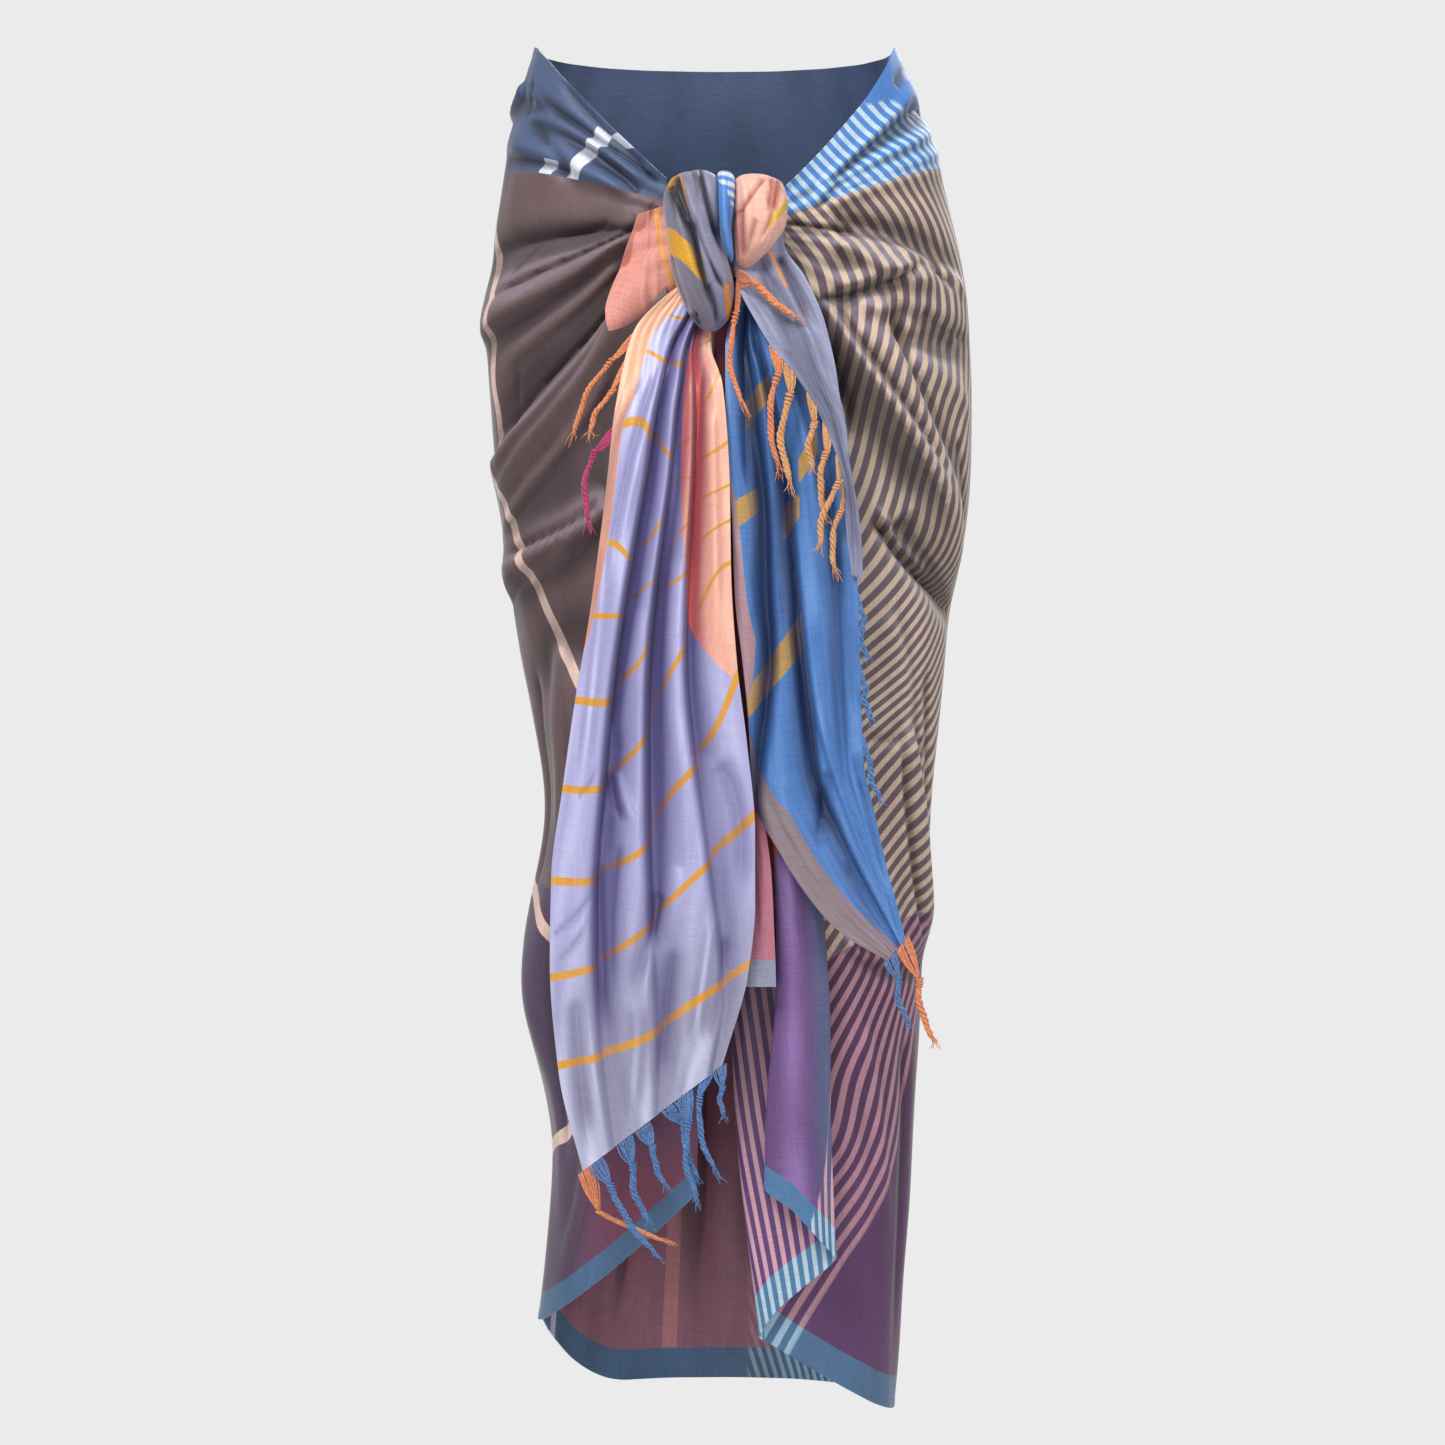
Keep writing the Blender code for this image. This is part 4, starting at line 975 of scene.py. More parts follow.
def cloth_shell(
    name: str, middle: Array, marks: Marks, material: Material, thick: Array | float = CLOTH_THICKNESS
) -> Object:
    """A thin closed shell on both sides of a grid of points, with rims.

    The two faces stand half the thickness off the grid along its normals, which are the cross product
    of the grid's two directions. The UV map holds the lengths along the rows and down the columns.

    Args:
        name: the piece's name.
        middle: the grid, rows by columns by x, y, z, in millimetres.
        marks: named numbers, each on the same grid.
        material: the finish.
        thick: the thickness, one for all or one for each point.

    Returns:
        The piece.
    """
    down, across = np.gradient(middle, axis=0), np.gradient(middle, axis=1)
    normal = np.cross(across, down)
    normal /= np.maximum(np.linalg.norm(normal, axis=-1, keepdims=True), 1e-9)
    half = np.broadcast_to(np.asarray(thick, float), middle.shape[:2])[..., None] / 2
    rows, columns = middle.shape[:2]
    points = np.concatenate([middle + normal * half, middle - normal * half]).reshape(-1, 3)
    index = np.arange(rows * columns).reshape(rows, columns)
    back = index + rows * columns
    quads = np.stack([index[:-1, :-1], index[:-1, 1:], index[1:, 1:], index[1:, :-1]], axis=-1).reshape(-1, 4)
    faces = [quads, (quads + rows * columns)[:, ::-1]]
    for edge, under in (
        (index[0], back[0]), (index[-1][::-1], back[-1][::-1]), (index[:, 0][::-1], back[:, 0][::-1]),
        (index[:, -1], back[:, -1]),
    ):
        faces.append(np.stack([edge[1:], edge[:-1], under[:-1], under[1:]], axis=-1))
    mesh = fill_mesh(name, points, np.concatenate(faces))
    lengths_u = np.cumsum(np.linalg.norm(across, axis=-1), axis=1)
    lengths_v = np.cumsum(np.linalg.norm(down, axis=-1), axis=0)
    uv = np.stack([lengths_u, lengths_v], axis=-1).reshape(-1, 2)
    twice = {key: np.concatenate([np.ravel(value)] * 2) for key, value in marks.items()}
    twice["face"] = np.repeat([1.0, 0.0], rows * columns)
    set_marks(mesh, twice, np.concatenate([uv, uv]))
    mesh.set_sharp_from_angle(angle=math.radians(62))
    return place(name, mesh, material)


def hem_thickness(*distances: Array) -> Array:
    """The cloth's thickness, doubled within a narrow rolled hem at the edges given in millimetres."""
    nearest = np.minimum.reduce(distances)
    return CLOTH_THICKNESS * (1 + smooth_step((5.5 - nearest) / 1.5))


STRIPED = (Bound("stripe", Where.EVERY, 0.235, 0.03), Bound("block", soft=0.3))
MAUVE = Bound("down")
PLUM = Bound("plum", soft=0.6)
HEM = Bound("hem")
PALE = Bound("pale", soft=0.4)


@dataclass(frozen=True)
class WrapColours:
    """The grounds of one stretch of the wrap, and the lighter colours painted on them as light.

    Attributes:
        waist: the band along the waist.
        mauve: the hip ground, and mauve_lit, a painted highlight on it where it slopes to the light.
        plum: the lower ground, and plum_front where it nears the front edge.
        plum_inside_painted_light: a lighter plum painted on the inner face as light, where that face lies in
            shade, and inside how much of it is laid on.
    """

    waist: str
    mauve: str
    mauve_lit: str
    plum: str
    plum_front: str
    plum_inside_painted_light: str = "#a06a7c"
    inside: float = 0.0


@dataclass(frozen=True)
class Wrap:
    """The cloth round the figure: two front panels, the back, and the pleat at the right panel's edge.

    The counts are the columns and rows of each grid.
    """

    form: WornForm
    front_grid: tuple[int, int] = (144, 276)
    back_grid: tuple[int, int] = (176, 168)
    pleat_grid: tuple[int, int] = (100, 124)

    # The last stripe of the first block, the first stripe of the second and the angle where that ends,
    # and half the breadth of a pale stripe
    LAST_STRIPE = 38.3
    BLOCK_FIRST = 52
    BLOCK_SIDE = 173
    PALE_HALF = 5.4

    def finish(self, name: str, colours: WrapColours) -> Material:
        """The wrap's cloth: a band of one blue, then mauve and plum grounds, all with cream stripes, and
        painted light and shade on its folds.

        Args:
            name: the finish's name.
            colours: the grounds.

        Returns:
            The material.
        """
        dyes = (
            Dye("#bcd6e4", STRIPED),
            Dye("#dfe3f4", (Bound("white", soft=0.5), Bound("up"))),
            Dye(colours.mauve, (MAUVE,)),
            # Painted highlight: a lighter mauve where the folds slope up to the light.
            Dye(colours.mauve_lit, (MAUVE, Bound("lit", Where.SHARE, 0.75))),
            Dye("#6a5558", (MAUVE, Bound("hip", Where.SHARE, 1.0))),
            Dye("#d6bda6", (*STRIPED, MAUVE)),
            Dye(colours.plum, (PLUM,)),
            Dye(colours.plum_front, (PLUM, Bound("crimson", Where.SHARE, 0.8))),
            Dye("#62405a", (PLUM, Bound("hip", Where.SHARE, 1.0))),
            # Painted light: a lighter plum on the inner face, which lies in shade.
            Dye(colours.plum_inside_painted_light, (PLUM, Bound("face", Where.SHARE, colours.inside))),
            Dye("#c07f88", (PLUM, Bound("rosy", soft=0.5))),
            Dye("#b58494", (*STRIPED, PLUM)),
            Dye("#4b6d92", (HEM,)),
            Dye("#94b8cd", (*STRIPED, HEM)),
            Dye("#f2cfc2", (PALE, MAUVE)),
            Dye("#c7cbe0", (PALE, HEM)),
            # Painted shade: darker in the folds' hollows, where they slope down from the light, and on the
            # near side of the hip ridge.
            Dye.share("#1d1218", "painted_valley_shade", 0.58),
            Dye.share("#1d1218", "shade", 0.42),
            Dye.share("#2b2026", "painted_flank_shade", 0.72),
        )
        return WovenCloth(name, colours.waist, dyes, roughness=0.55, sheen=0.3).material()

    def marks(self, angle: Array, z: Array, cloth: Array, lift: Array) -> Marks:
        """What is woven where, and where light and shade are painted, at each point of a stretch of the wrap.

        Most marks are millimetres inside the edge of a stripe or a ground, and the rest are shares.

        Args:
            angle: degrees round the figure.
            z: heights.
            cloth: distances down the cloth.
            lift: how far the folds lift each point.

        Returns:
            The marks by name.
        """
        arc = angle * ARC_PER_DEGREE
        places = np.column_stack([STRIPES["angle"] * ARC_PER_DEGREE, STRIPES["z"]])
        stripe = NumberField(places, STRIPES["number"], 0.002)(arc, z) + 0.02 * lift
        turned = np.where(angle > 180, angle - 360, angle)
        plum = read(PLUM_BORDER, "angle", "z", turned) - z
        # The stripes end at a plain stretch in the waist's corner, and past the last one lower down.
        # A second block of them begins behind, in the plum ground.
        plain = 10.6 + 2.7 * smooth_step(cloth / 34) + 6 * smooth_step((cloth - 44) / 14)
        last = np.where(cloth < BAND_HEIGHT, plain, self.LAST_STRIPE)
        to_side = (self.BLOCK_SIDE - angle) * ARC_PER_DEGREE
        again = np.minimum.reduce([stripe - self.BLOCK_FIRST, to_side / 8, plum / 8])
        block = np.where(angle < 0, -1.0, np.maximum(last - stripe, again))
        # Each pale stripe is as wide across its own way as it is where it runs straight down.
        gaps = [np.full(z.shape, FAR)]
        for rows in (PALE_SIDE, PALE_LOW):
            inside = (z > rows["z"].min()) & (z < rows["z"].max())
            gap = turned * ARC_PER_DEGREE - ARC_PER_DEGREE * read(rows, "z", "angle", z)
            above, below = (read(rows, "z", "angle", z + step) for step in (1, -1))
            gap = gap / np.hypot(1, (above - below) * ARC_PER_DEGREE / 2)
            gaps.append(np.where(inside, np.abs(gap), FAR))
        # Each patch of the white stripe is a slanting strip between two distances down the cloth.
        white = np.full(z.shape, OUTSIDE)
        for high, low, start, end, half in zip(*WHITE.values()):
            centre = start + (end - start) * (cloth - high) / (low - high)
            within = np.minimum(cloth - high, low - cloth)
            off = np.abs(turned - centre) * ARC_PER_DEGREE
            white = np.maximum(white, np.minimum(half - off, within))
        # Painted shade, deepest beside the ridge's top, that fades down its near side and at both ends.
        near = read(HIP_RIDGE, "z", "angle", z) - turned
        painted_flank_shade = smooth_step(near / 1.2) * smooth_step((17 - near) / 13)
        painted_flank_shade = painted_flank_shade * smooth_step((-148 - z) / 16) * smooth_step((z + 345) / 70)
        tilt = np.gradient(lift, axis=0) / np.maximum(np.gradient(cloth, axis=0), 1e-6)
        return {
            "stripe": stripe,
            "block": block,
            "down": cloth - BAND_HEIGHT + 0.15 * lift,
            "up": BAND_HEIGHT - cloth - 0.15 * lift,
            "plum": plum,
            "hem": cloth - (CLOTH_HEIGHT - HEM_WIDTH),
            "pale": self.PALE_HALF - np.minimum.reduce(gaps),
            "white": white,
            "crimson": smooth_step((turned + 62) / 40) * smooth_step((-700 - z) / 120),
            "rosy": 6 - np.abs(turned + 166) * ARC_PER_DEGREE,
            # Painted shade in hollows and on downward slopes, and painted highlight on upward slopes, all
            # from the folds' own shape.
            "painted_valley_shade": np.clip(hollow(lift, 60) / 1.5, 0, 1),
            "lit": np.clip(tilt * 2.2, 0, 1),
            "shade": np.clip(-tilt * 2.2, 0, 1),
            "painted_flank_shade": painted_flank_shade,
            "hip": smooth_step((np.abs(turned) - 66) / 23) * (np.abs(turned) < 91),
        }

    def build_front(self, side: str, material: Material) -> Object:
        """One front panel, from the waist to the hem, with its columns closer towards the hip.

        Args:
            side: left or right.
            material: the finish.

        Returns:
            The piece.
        """
        columns, rows = self.front_grid
        shares = 1 - (1 - np.linspace(0, 1, columns)) ** 1.15
        u, cloth = np.meshgrid(shares, np.linspace(0, CLOTH_HEIGHT, rows))
        return self.panel("wrap_" + side, self.form.front(side, u, cloth), cloth, material)

    def panel(self, name: str, lies: tuple[Array, Array], cloth: Array, material: Material) -> Object:
        """A stretch of the wrap as a shell on the worn form.

        Args:
            name: the piece's name.
            lies: the angles and the heights of its points.
            cloth: their distances down the cloth.
            material: the finish.

        Returns:
            The piece.
        """
        middle, lift = self.form.point(*lies)
        marks = self.marks(*lies, cloth, lift)
        return cloth_shell(name, middle, marks, material, hem_thickness(CLOTH_HEIGHT - cloth, cloth))

    def build_back(self, material: Material) -> Object:
        """The back, from hip to hip.

        Args:
            material: the finish.

        Returns:
            The piece.
        """
        columns, rows = self.back_grid
        u, cloth = np.meshgrid(np.linspace(0, 1, columns), np.linspace(0, CLOTH_HEIGHT, rows))
        return self.panel("wrap_back", self.form.back(u, cloth), cloth, material)

    def build_pleat(self) -> Object:
        """The right panel's loose end, folded in an S: right, then back to the left in front.

        In plan it follows a table's curve, set out from the panel's own edge. Two low waves ripple it,
        and its folds lift it towards the hem.

        Returns:
            The piece.
        """
        columns, rows = self.pleat_grid
        u, cloth = np.meshgrid(np.linspace(0, 1, columns), np.linspace(PLEAT_TOP, CLOTH_HEIGHT, rows))
        angle, z = self.form.front("right", np.ones_like(u), cloth)
        edge = self.form.point(angle, z)[0]
        across = read(PLEAT_PATH, "along", "across", u)
        returned = smooth_step((u - SECOND_FOLD) / (1 - SECOND_FOLD))
        across = across + returned * read(PLEAT, "cloth", "left_share", cloth) * (1 - across)
        out = read(PLEAT_PATH, "along", "out", u)
        wave = np.sin(u * 21 + cloth / 90) + 0.7 * np.sin(u * 43 - cloth / 60)
        out = out + 0.7 * wave * smooth_step(u * (1 - u) * 8)
        breadth = read(PLEAT, "cloth", "breadth", cloth)
        lift_right = read(PLEAT, "cloth", "lift_right", cloth)
        lift_left = read(PLEAT, "cloth", "lift_left", cloth)
        lift = lift_right * smooth_step(u / SECOND_FOLD) + (lift_left - lift_right) * returned
        x = edge[..., 0] + (across - PLEAT_PATH["across"][0]) * breadth
        middle = np.stack([x, edge[..., 1] - out, edge[..., 2] + lift], axis=-1)
        run = np.cumsum(np.linalg.norm(np.gradient(middle, axis=1), axis=-1), axis=1)
        last = (u - SECOND_FOLD) * 2 * breadth
        marks = {
            "stripe": run / 8.2 - (cloth - PLEAT_TOP) / 60,
            "block": np.where(u < SECOND_FOLD, 1.0, (cloth - 880) / 5.5 - last) / 2,
            "hem": cloth - (CLOTH_HEIGHT - HEM_WIDTH),
            "slate": smooth_step((0.74 - u) / 0.12) * smooth_step((u - SECOND_FOLD) / 0.04),
            # Painted highlight: lilac along the forward ridge of the second fold, in patches down it.
            "lilac": np.exp(-(((u - 0.80) / 0.07) ** 2)) * (0.6 + 0.4 * np.sin(cloth / 37) ** 2),
            # Painted shade on the first layer under the second fold, strongest high up.
            "first": smooth_step((SECOND_FOLD - 0.02 - u) / 0.04) * smooth_step((960 - cloth) / 160),
            "rust": (z + 557.7 - 1.79 * (x - 45.4)) / 2,
        }
        dyes = (
            Dye.share("#566083", "slate", 0.9),
            # Painted highlight on the fold's forward ridge.
            Dye.share("#9474b2", "lilac", 0.85),
            Dye("#d3a0ae", STRIPED),
            Dye("#4a78a4", (HEM,)),
            Dye("#b3cdd9", (*STRIPED, HEM)),
            # Painted shade under the second fold.
            Dye.share("#241020", "first", 0.62),
            Dye("#a8492c", (Bound("rust", soft=0.5),)),
        )
        material = WovenCloth("pleat_plum_cotton", "#5f3d75", dyes, roughness=0.5, sheen=0.3).material()
        return cloth_shell("wrap_pleat", middle, marks, material, hem_thickness(CLOTH_HEIGHT - cloth))

    def build(self) -> None:
        """Builds the four stretches, and hides the model's parts that they stand for."""
        on_left = WrapColours("#4c5d80", "#6a5456", "#8f7f8b", "#574560", "#8a3f58")
        on_right = WrapColours("#4a82cc", "#6c5a62", "#9a93a8", "#512c52", "#5d3866")
        # The back's inner face is lightened with painted light.
        behind = WrapColours("#4c5d80", "#6a5558", "#877681", "#62405a", "#62405a", inside=0.9)
        left = self.build_front("left", self.finish("wrap_left_cotton", on_left))
        right = self.build_front("right", self.finish("wrap_right_cotton", on_right))
        back = self.build_back(self.finish("wrap_back_cotton", behind))
        pleat = self.build_pleat()
        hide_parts("waist_left", "front_left")
        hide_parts("waist_right", "front_right")
        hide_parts("waist_back", "skirt_back")
        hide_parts("front_pleat")


def between_edges(rows: Table, u: Array, v: Array) -> Array:
    """Places on straight lines from a strip's left edge to its right one.

    Args:
        rows: the strip's two edges, from the top down.
        u: shares across.
        v: shares down.

    Returns:
        Each place's x and z.
    """
    steps = np.linspace(0, 1, len(rows["depth"]))
    left = np.stack([curve(steps, rows[name], v) for name in ("left_x", "left_z")], axis=-1)
    right = np.stack([curve(steps, rows[name], v) for name in ("right_x", "right_z")], axis=-1)
    return left + (right - left) * u[..., None]


@dataclass(frozen=True)
class HangingEnd:
    """A gathered end of the cloth that hangs from the knot.

    Attributes:
        name: the piece's name.
        node: the model's node that it stands for.
        rows: its two edges and its depth, from the top down.
        troughs: the troughs that run down it.
        creases: its finer creases and ridges.
        grid: columns and rows of the mesh.
        wrinkle: the height of its small wrinkles.
    """

    name: str
    node: str
    rows: Table
    troughs: Table
    creases: Table
    grid: tuple[int, int]
    wrinkle: float = 0.4

    # A trough that hides some of the weave is deeper than this.
    DEEP = 5

    def surface(self, u: Array, v: Array) -> tuple[Array, Array]:
        """Points across and down the end, and how far each is sunk in a trough.

        A line goes straight from the left edge to the right one. Its depth is the table's, plus a bell
        for each trough, less the creases' lift, and two small waves that run down the end.

        Args:
            u: shares across.
            v: shares down.

        Returns:
            The points and the depths.
        """
        steps = np.linspace(0, 1, len(self.rows["depth"]))
        flat = between_edges(self.rows, u, v)
        sunk = np.zeros(u.shape)
        for row, centre, sink in self.trough_ways(v):
            breadth = row["breadth"] * (1 + row["lean"] * np.sign(u - centre))
            sunk += sink * np.exp(-(np.abs((u - centre) / breadth) ** 1.8))
        sunk -= fold_lift(self.creases, flat[..., 0], flat[..., 1]) * smooth_step(8 * v)
        small = np.sin(23 * u + 7 * np.sin(6 * v)) * np.sin(17 * v + 4 * u) + 0.5 * np.sin(61 * u - 24 * v)
        depth = curve(steps, self.rows["depth"], v) + sunk + self.wrinkle * small * smooth_step(6 * v)
        return np.stack([flat[..., 0], depth, flat[..., 1]], axis=-1), sunk

    def trough_ways(self, v: Array) -> list[tuple[Row, Array, Array]]:
        """Each trough's way down the end, a smooth curve through its top, middle and foot.

        Args:
            v: shares down the end.

        Returns:
            Each trough's row, its places across and its depths.
        """
        thirds = np.array([0.0, 0.5, 1.0])
        ways = []
        for row in each_row(self.troughs):
            centre = curve(thirds, np.array([row["top"], row["middle"], row["foot"]]), v)
            sink = curve(thirds, np.array([row["depth_top"], row["depth_middle"], row["depth_foot"]]), v)
            ways.append((row, centre, sink))
        return ways

    def tuck(self, u: Array, v: Array, depth: float) -> Array:
        """How far the weave has slipped along the end, in steps where a deep trough hides some of it.

        Args:
            u: shares across.
            v: shares down.
            depth: the whole step at one trough, as a share of the end's length.

        Returns:
            The slip at each place.
        """
        slipped = np.zeros(np.shape(u))
        for row, centre, sink in self.trough_ways(v):
            if row["depth_middle"] > self.DEEP:
                share = np.clip((sink - row["depth_foot"]) / row["depth_middle"], 0, 1)
                slipped = slipped + depth * share * smooth_step((u - centre) / 0.03 + 0.5)
        return slipped

    def number(self, rows: Table, depth: float) -> Array:
        """The numbers of the stripes across the end, with a step at each deep trough.

        Args:
            rows: numbered places, by shares across and down.
            depth: the step, as a share of the end's length.

        Returns:
            The number at each point of the mesh.
        """
        field = NumberField(
            np.column_stack([rows["u"] * 0.3, rows["v"] + self.tuck(rows["u"], rows["v"], depth)]),
            rows["number"],
        )
        u, v = self.mesh_grid()
        return field(u * 0.3, v + self.tuck(u, v, depth))

    def mesh_grid(self) -> tuple[Array, Array]:
        """The shares across and down of every point."""
        return np.meshgrid(np.linspace(0, 1, self.grid[0]), np.linspace(0, 1, self.grid[1]))

    def widths(self, v: Array) -> Array:
        """How wide the end is from edge to edge.

        Args:
            v: shares down it.

        Returns:
            The widths.
        """
        steps = np.linspace(0, 1, len(self.rows["depth"]))
        across = curve(steps, self.rows["right_x"] - self.rows["left_x"], v)
        rise = curve(steps, self.rows["right_z"] - self.rows["left_z"], v)
        return np.hypot(across, rise)

    def build(self, material: Material, marks: Marks, hems: str = "") -> Object:
        """The end as a thin shell in its finish.

        Args:
            material: the finish.
            marks: what is woven where.
            hems: which of its edges are rolled, out of left, right and foot.

        Returns:
            The piece.
        """
        u, v = self.mesh_grid()
        middle, sunk = self.surface(u, v)
        width = self.widths(v)
        distances = {
            "left": u * width,
            "right": (1 - u) * width,
            "foot": np.cumsum(np.linalg.norm(np.gradient(middle, axis=0), axis=-1)[::-1], axis=0)[::-1],
        }
        hemmed = [distances[edge] for edge in hems.split()] or [np.full(u.shape, FAR)]
        slope = np.gradient(sunk, axis=1) / np.maximum(np.gradient(u * width, axis=1), 1e-6)
        # Painted highlight: pale streaks along the tops of the ridges, broken into patches.
        painted_crest_highlight = np.clip(1 - sunk / 2.0, 0, 1) * np.clip(1 - 4 * np.abs(slope), 0, 1)
        patchy = np.sin(19 * u + 5 * np.sin(7 * v)) * np.sin(15 * v + 4 * np.sin(9 * u))
        marks = {
            # Painted shade in the troughs and on their slopes.
            "painted_valley_shade": np.clip(sunk / 7.5, 0, 1) ** 1.2,
            "painted_crest_highlight": painted_crest_highlight * (0.5 + 0.5 * patchy),
            "shade": np.clip(slope * 0.9, 0, 1) + np.clip(-slope * 0.5, 0, 1),
            **marks,
        }
        piece = cloth_shell(self.name, middle, marks, material, hem_thickness(*hemmed))
        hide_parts(self.node)
        return piece


@dataclass(frozen=True)
class HangingEnds:
    """All the ends that hang from the knot, with their stripes and grounds."""

    left: HangingEnd = HangingEnd(
        "end_left", "tail_left", TAIL_LEFT, TROUGHS_LEFT, CREASES_END_LEFT, (160, 226)
    )
    right: HangingEnd = HangingEnd(
        "end_right", "tail_right", TAIL_RIGHT, TROUGHS_RIGHT, CREASES_END_RIGHT, (130, 180)
    )
    inner: HangingEnd = HangingEnd(
        "end_inner", "inner_end", INNER_END, TROUGHS_INNER, CREASES_INNER, (40, 100)
    )
    grey: HangingEnd = HangingEnd(
        "flap_lilac", "flap_grey", FLAP_GREY, TROUGHS_GREY, CREASES_GREY, (56, 120)
    )

    # How long the inner end is
    INNER_LENGTH = 507

    def build_left(self) -> Object:
        """The silky lavender end: orange stripes, a salmon side and a peach strip, grey at its foot.

        Returns:
            The piece.
        """
        u, v = self.left.mesh_grid()
        width = self.left.widths(v)
        marks = {
            "stripe": self.left.number(LEFT_STRIPES, 0.022),
            "salmon": (u - read(SALMON_SIDE, "v", "u", v)) * width,
            "peach": (read(PEACH_SIDE, "v", "u", v) - u) * width,
            "rose": smooth_step((v - 0.27) / 0.03),
            "worn": smooth_step((v - 0.72) / 0.25),
        }
        stripe = Bound("stripe", Where.EVERY, 0.044, 0.008)
        salmon = Bound("salmon", soft=0.5)
        peach = Bound("peach", soft=0.5)
        dyes = (
            Dye.share("#9795ad", "worn", 0.9),
            # Painted highlight along the silk's ridges.
            Dye.share("#d3d3f3", "painted_crest_highlight", 0.8),
            Dye("#eda993", (salmon,)),
            # Painted highlight on the salmon side's ridges.
            Dye("#f6cbb4", (salmon, Bound("painted_crest_highlight", Where.SHARE, 0.8))),
            Dye("#dc9c38", (stripe, Bound("stripe", size=-0.5, soft=0.01))),
            Dye("#f3b592", (peach,)),
            Dye("#cd9080", (peach, Bound("rose", Where.SHARE, 0.95))),
            # Painted shade in the troughs, deep red where they cross the salmon side, then on the slopes.
            Dye.share("#332a68", "painted_valley_shade", 0.82),
            Dye("#cf5a48", (salmon, Bound("painted_valley_shade", Where.SHARE, 0.95))),
            Dye.share("#3c3468", "shade", 0.5),
        )
        cloth = WovenCloth("lavender_silk_mix", "#aaa7d6", dyes, roughness=0.38, sheen=0.35, streak=0.1)
        return self.left.build(cloth.material(), marks, "left foot")

    def build_right(self) -> Object:
        """The blue end: patches of wide mustard stripes, and a mauve selvedge down its left edge.

        Returns:
            The piece.
        """
        u, v = self.right.mesh_grid()
        width = self.right.widths(v)
        edge = np.interp(v, *SELVEDGE_WIDTH)
        x, z = np.moveaxis(self.right.surface(u, v)[0][..., [0, 2]], -1, 0)
        mustard = np.full(u.shape, OUTSIDE)
        for left, right, high_left, high_right, low_left, low_right in zip(*MUSTARD.values()):
            share = (x - left) / (right - left)
            over = high_left + (high_right - high_left) * share - z
            under = z - low_left - (low_right - low_left) * share
            mustard = np.maximum(mustard, np.minimum.reduce([x - left, right - x, over, under]))
        marks = {
            "mustard": mustard,
            "selvedge": edge - u * width,
            "pinker": smooth_step((0.66 - v) / 0.08),
        }
        dyes = (
            # Painted highlight along the ridges.
            Dye.share("#7fa6dc", "painted_crest_highlight", 0.5),
            Dye("#bf9650", (Bound("mustard", soft=0.4),)),
            Dye("#8f7d84", (Bound("selvedge", soft=0.4),)),
            Dye("#b58e98", (Bound("selvedge", soft=0.4), Bound("pinker", Where.SHARE, 0.9))),
            # Painted shade in the troughs and on their slopes.
            Dye.share("#0a173f", "painted_valley_shade", 0.88),
            Dye.share("#122453", "shade", 0.55),
        )
        cloth = WovenCloth("blue_cotton_silk", "#4a7cc0", dyes, roughness=0.45, sheen=0.3)
        return self.right.build(cloth.material(), marks, "left right")

    def build_inner(self) -> Object:
        """The pink inner end, with a pale slate border at its foot, and painted shade over its upper part.

        Returns:
            The piece.
        """
        u, v = self.inner.mesh_grid()
        # Its upper part, which hangs behind the other ends, is darkened with painted shade.
        marks = {"foot": (v - 0.948) * self.INNER_LENGTH, "painted_upper_shade": smooth_step((0.74 - v) / 0.2)}
        dyes = (
            Dye.share("#6a2434", "painted_upper_shade", 0.85),
            Dye("#8f93ab", (Bound("foot"),)),
            # Painted shade in its troughs.
            Dye.share("#5b1f33", "painted_valley_shade", 0.4),
        )
        cloth = WovenCloth("pink_cotton", "#b97286", dyes)
        return self.inner.build(cloth.material(), marks, "right foot")

    def build_grey(self) -> Object:
        """The grey-lilac flap that turns down from the knot to the right.

        Returns:
            The piece.
        """
        u, v = self.grey.mesh_grid()
        x, z = np.moveaxis(self.grey.surface(u, v)[0][..., [0, 2]], -1, 0)
        line = 1.4 - np.abs(x - 30 - 0.46 * (-116 - z))
        dyes = (
            # Painted highlight along the ridges.
            Dye.share("#a9accb", "painted_crest_highlight", 0.6),
            Dye("#e39a5c", (Bound("line", soft=0.4),)),
            # Painted shade in the troughs and on their slopes.
            Dye.share("#1f1b2c", "painted_valley_shade", 1.0),
            Dye.share("#4a4450", "shade", 0.5),
        )
        cloth = WovenCloth("grey_lilac_cotton", "#8386a3", dyes, roughness=0.55)
        return self.grey.build(cloth.material(), {"line": np.minimum(line, z + 150)}, "right")

    def build(self) -> None:
        """Builds the ends."""
        for piece, slot, flat in (
            (self.build_left(), "cloth_lavender", (0.15, 0.62)),
            (self.build_right(), "cloth_blue", (0.12, 0.47)),
            (self.build_inner(), "cloth_pink", (0.042, 0.507)),
            (self.build_grey(), "cloth_grey", (0.036, 0.27)),
        ):
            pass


@dataclass(frozen=True)
class Knot:
    """The tied knot: its hidden crossing, and the lobes of cloth that wrap over it."""

    front: float = -141.0

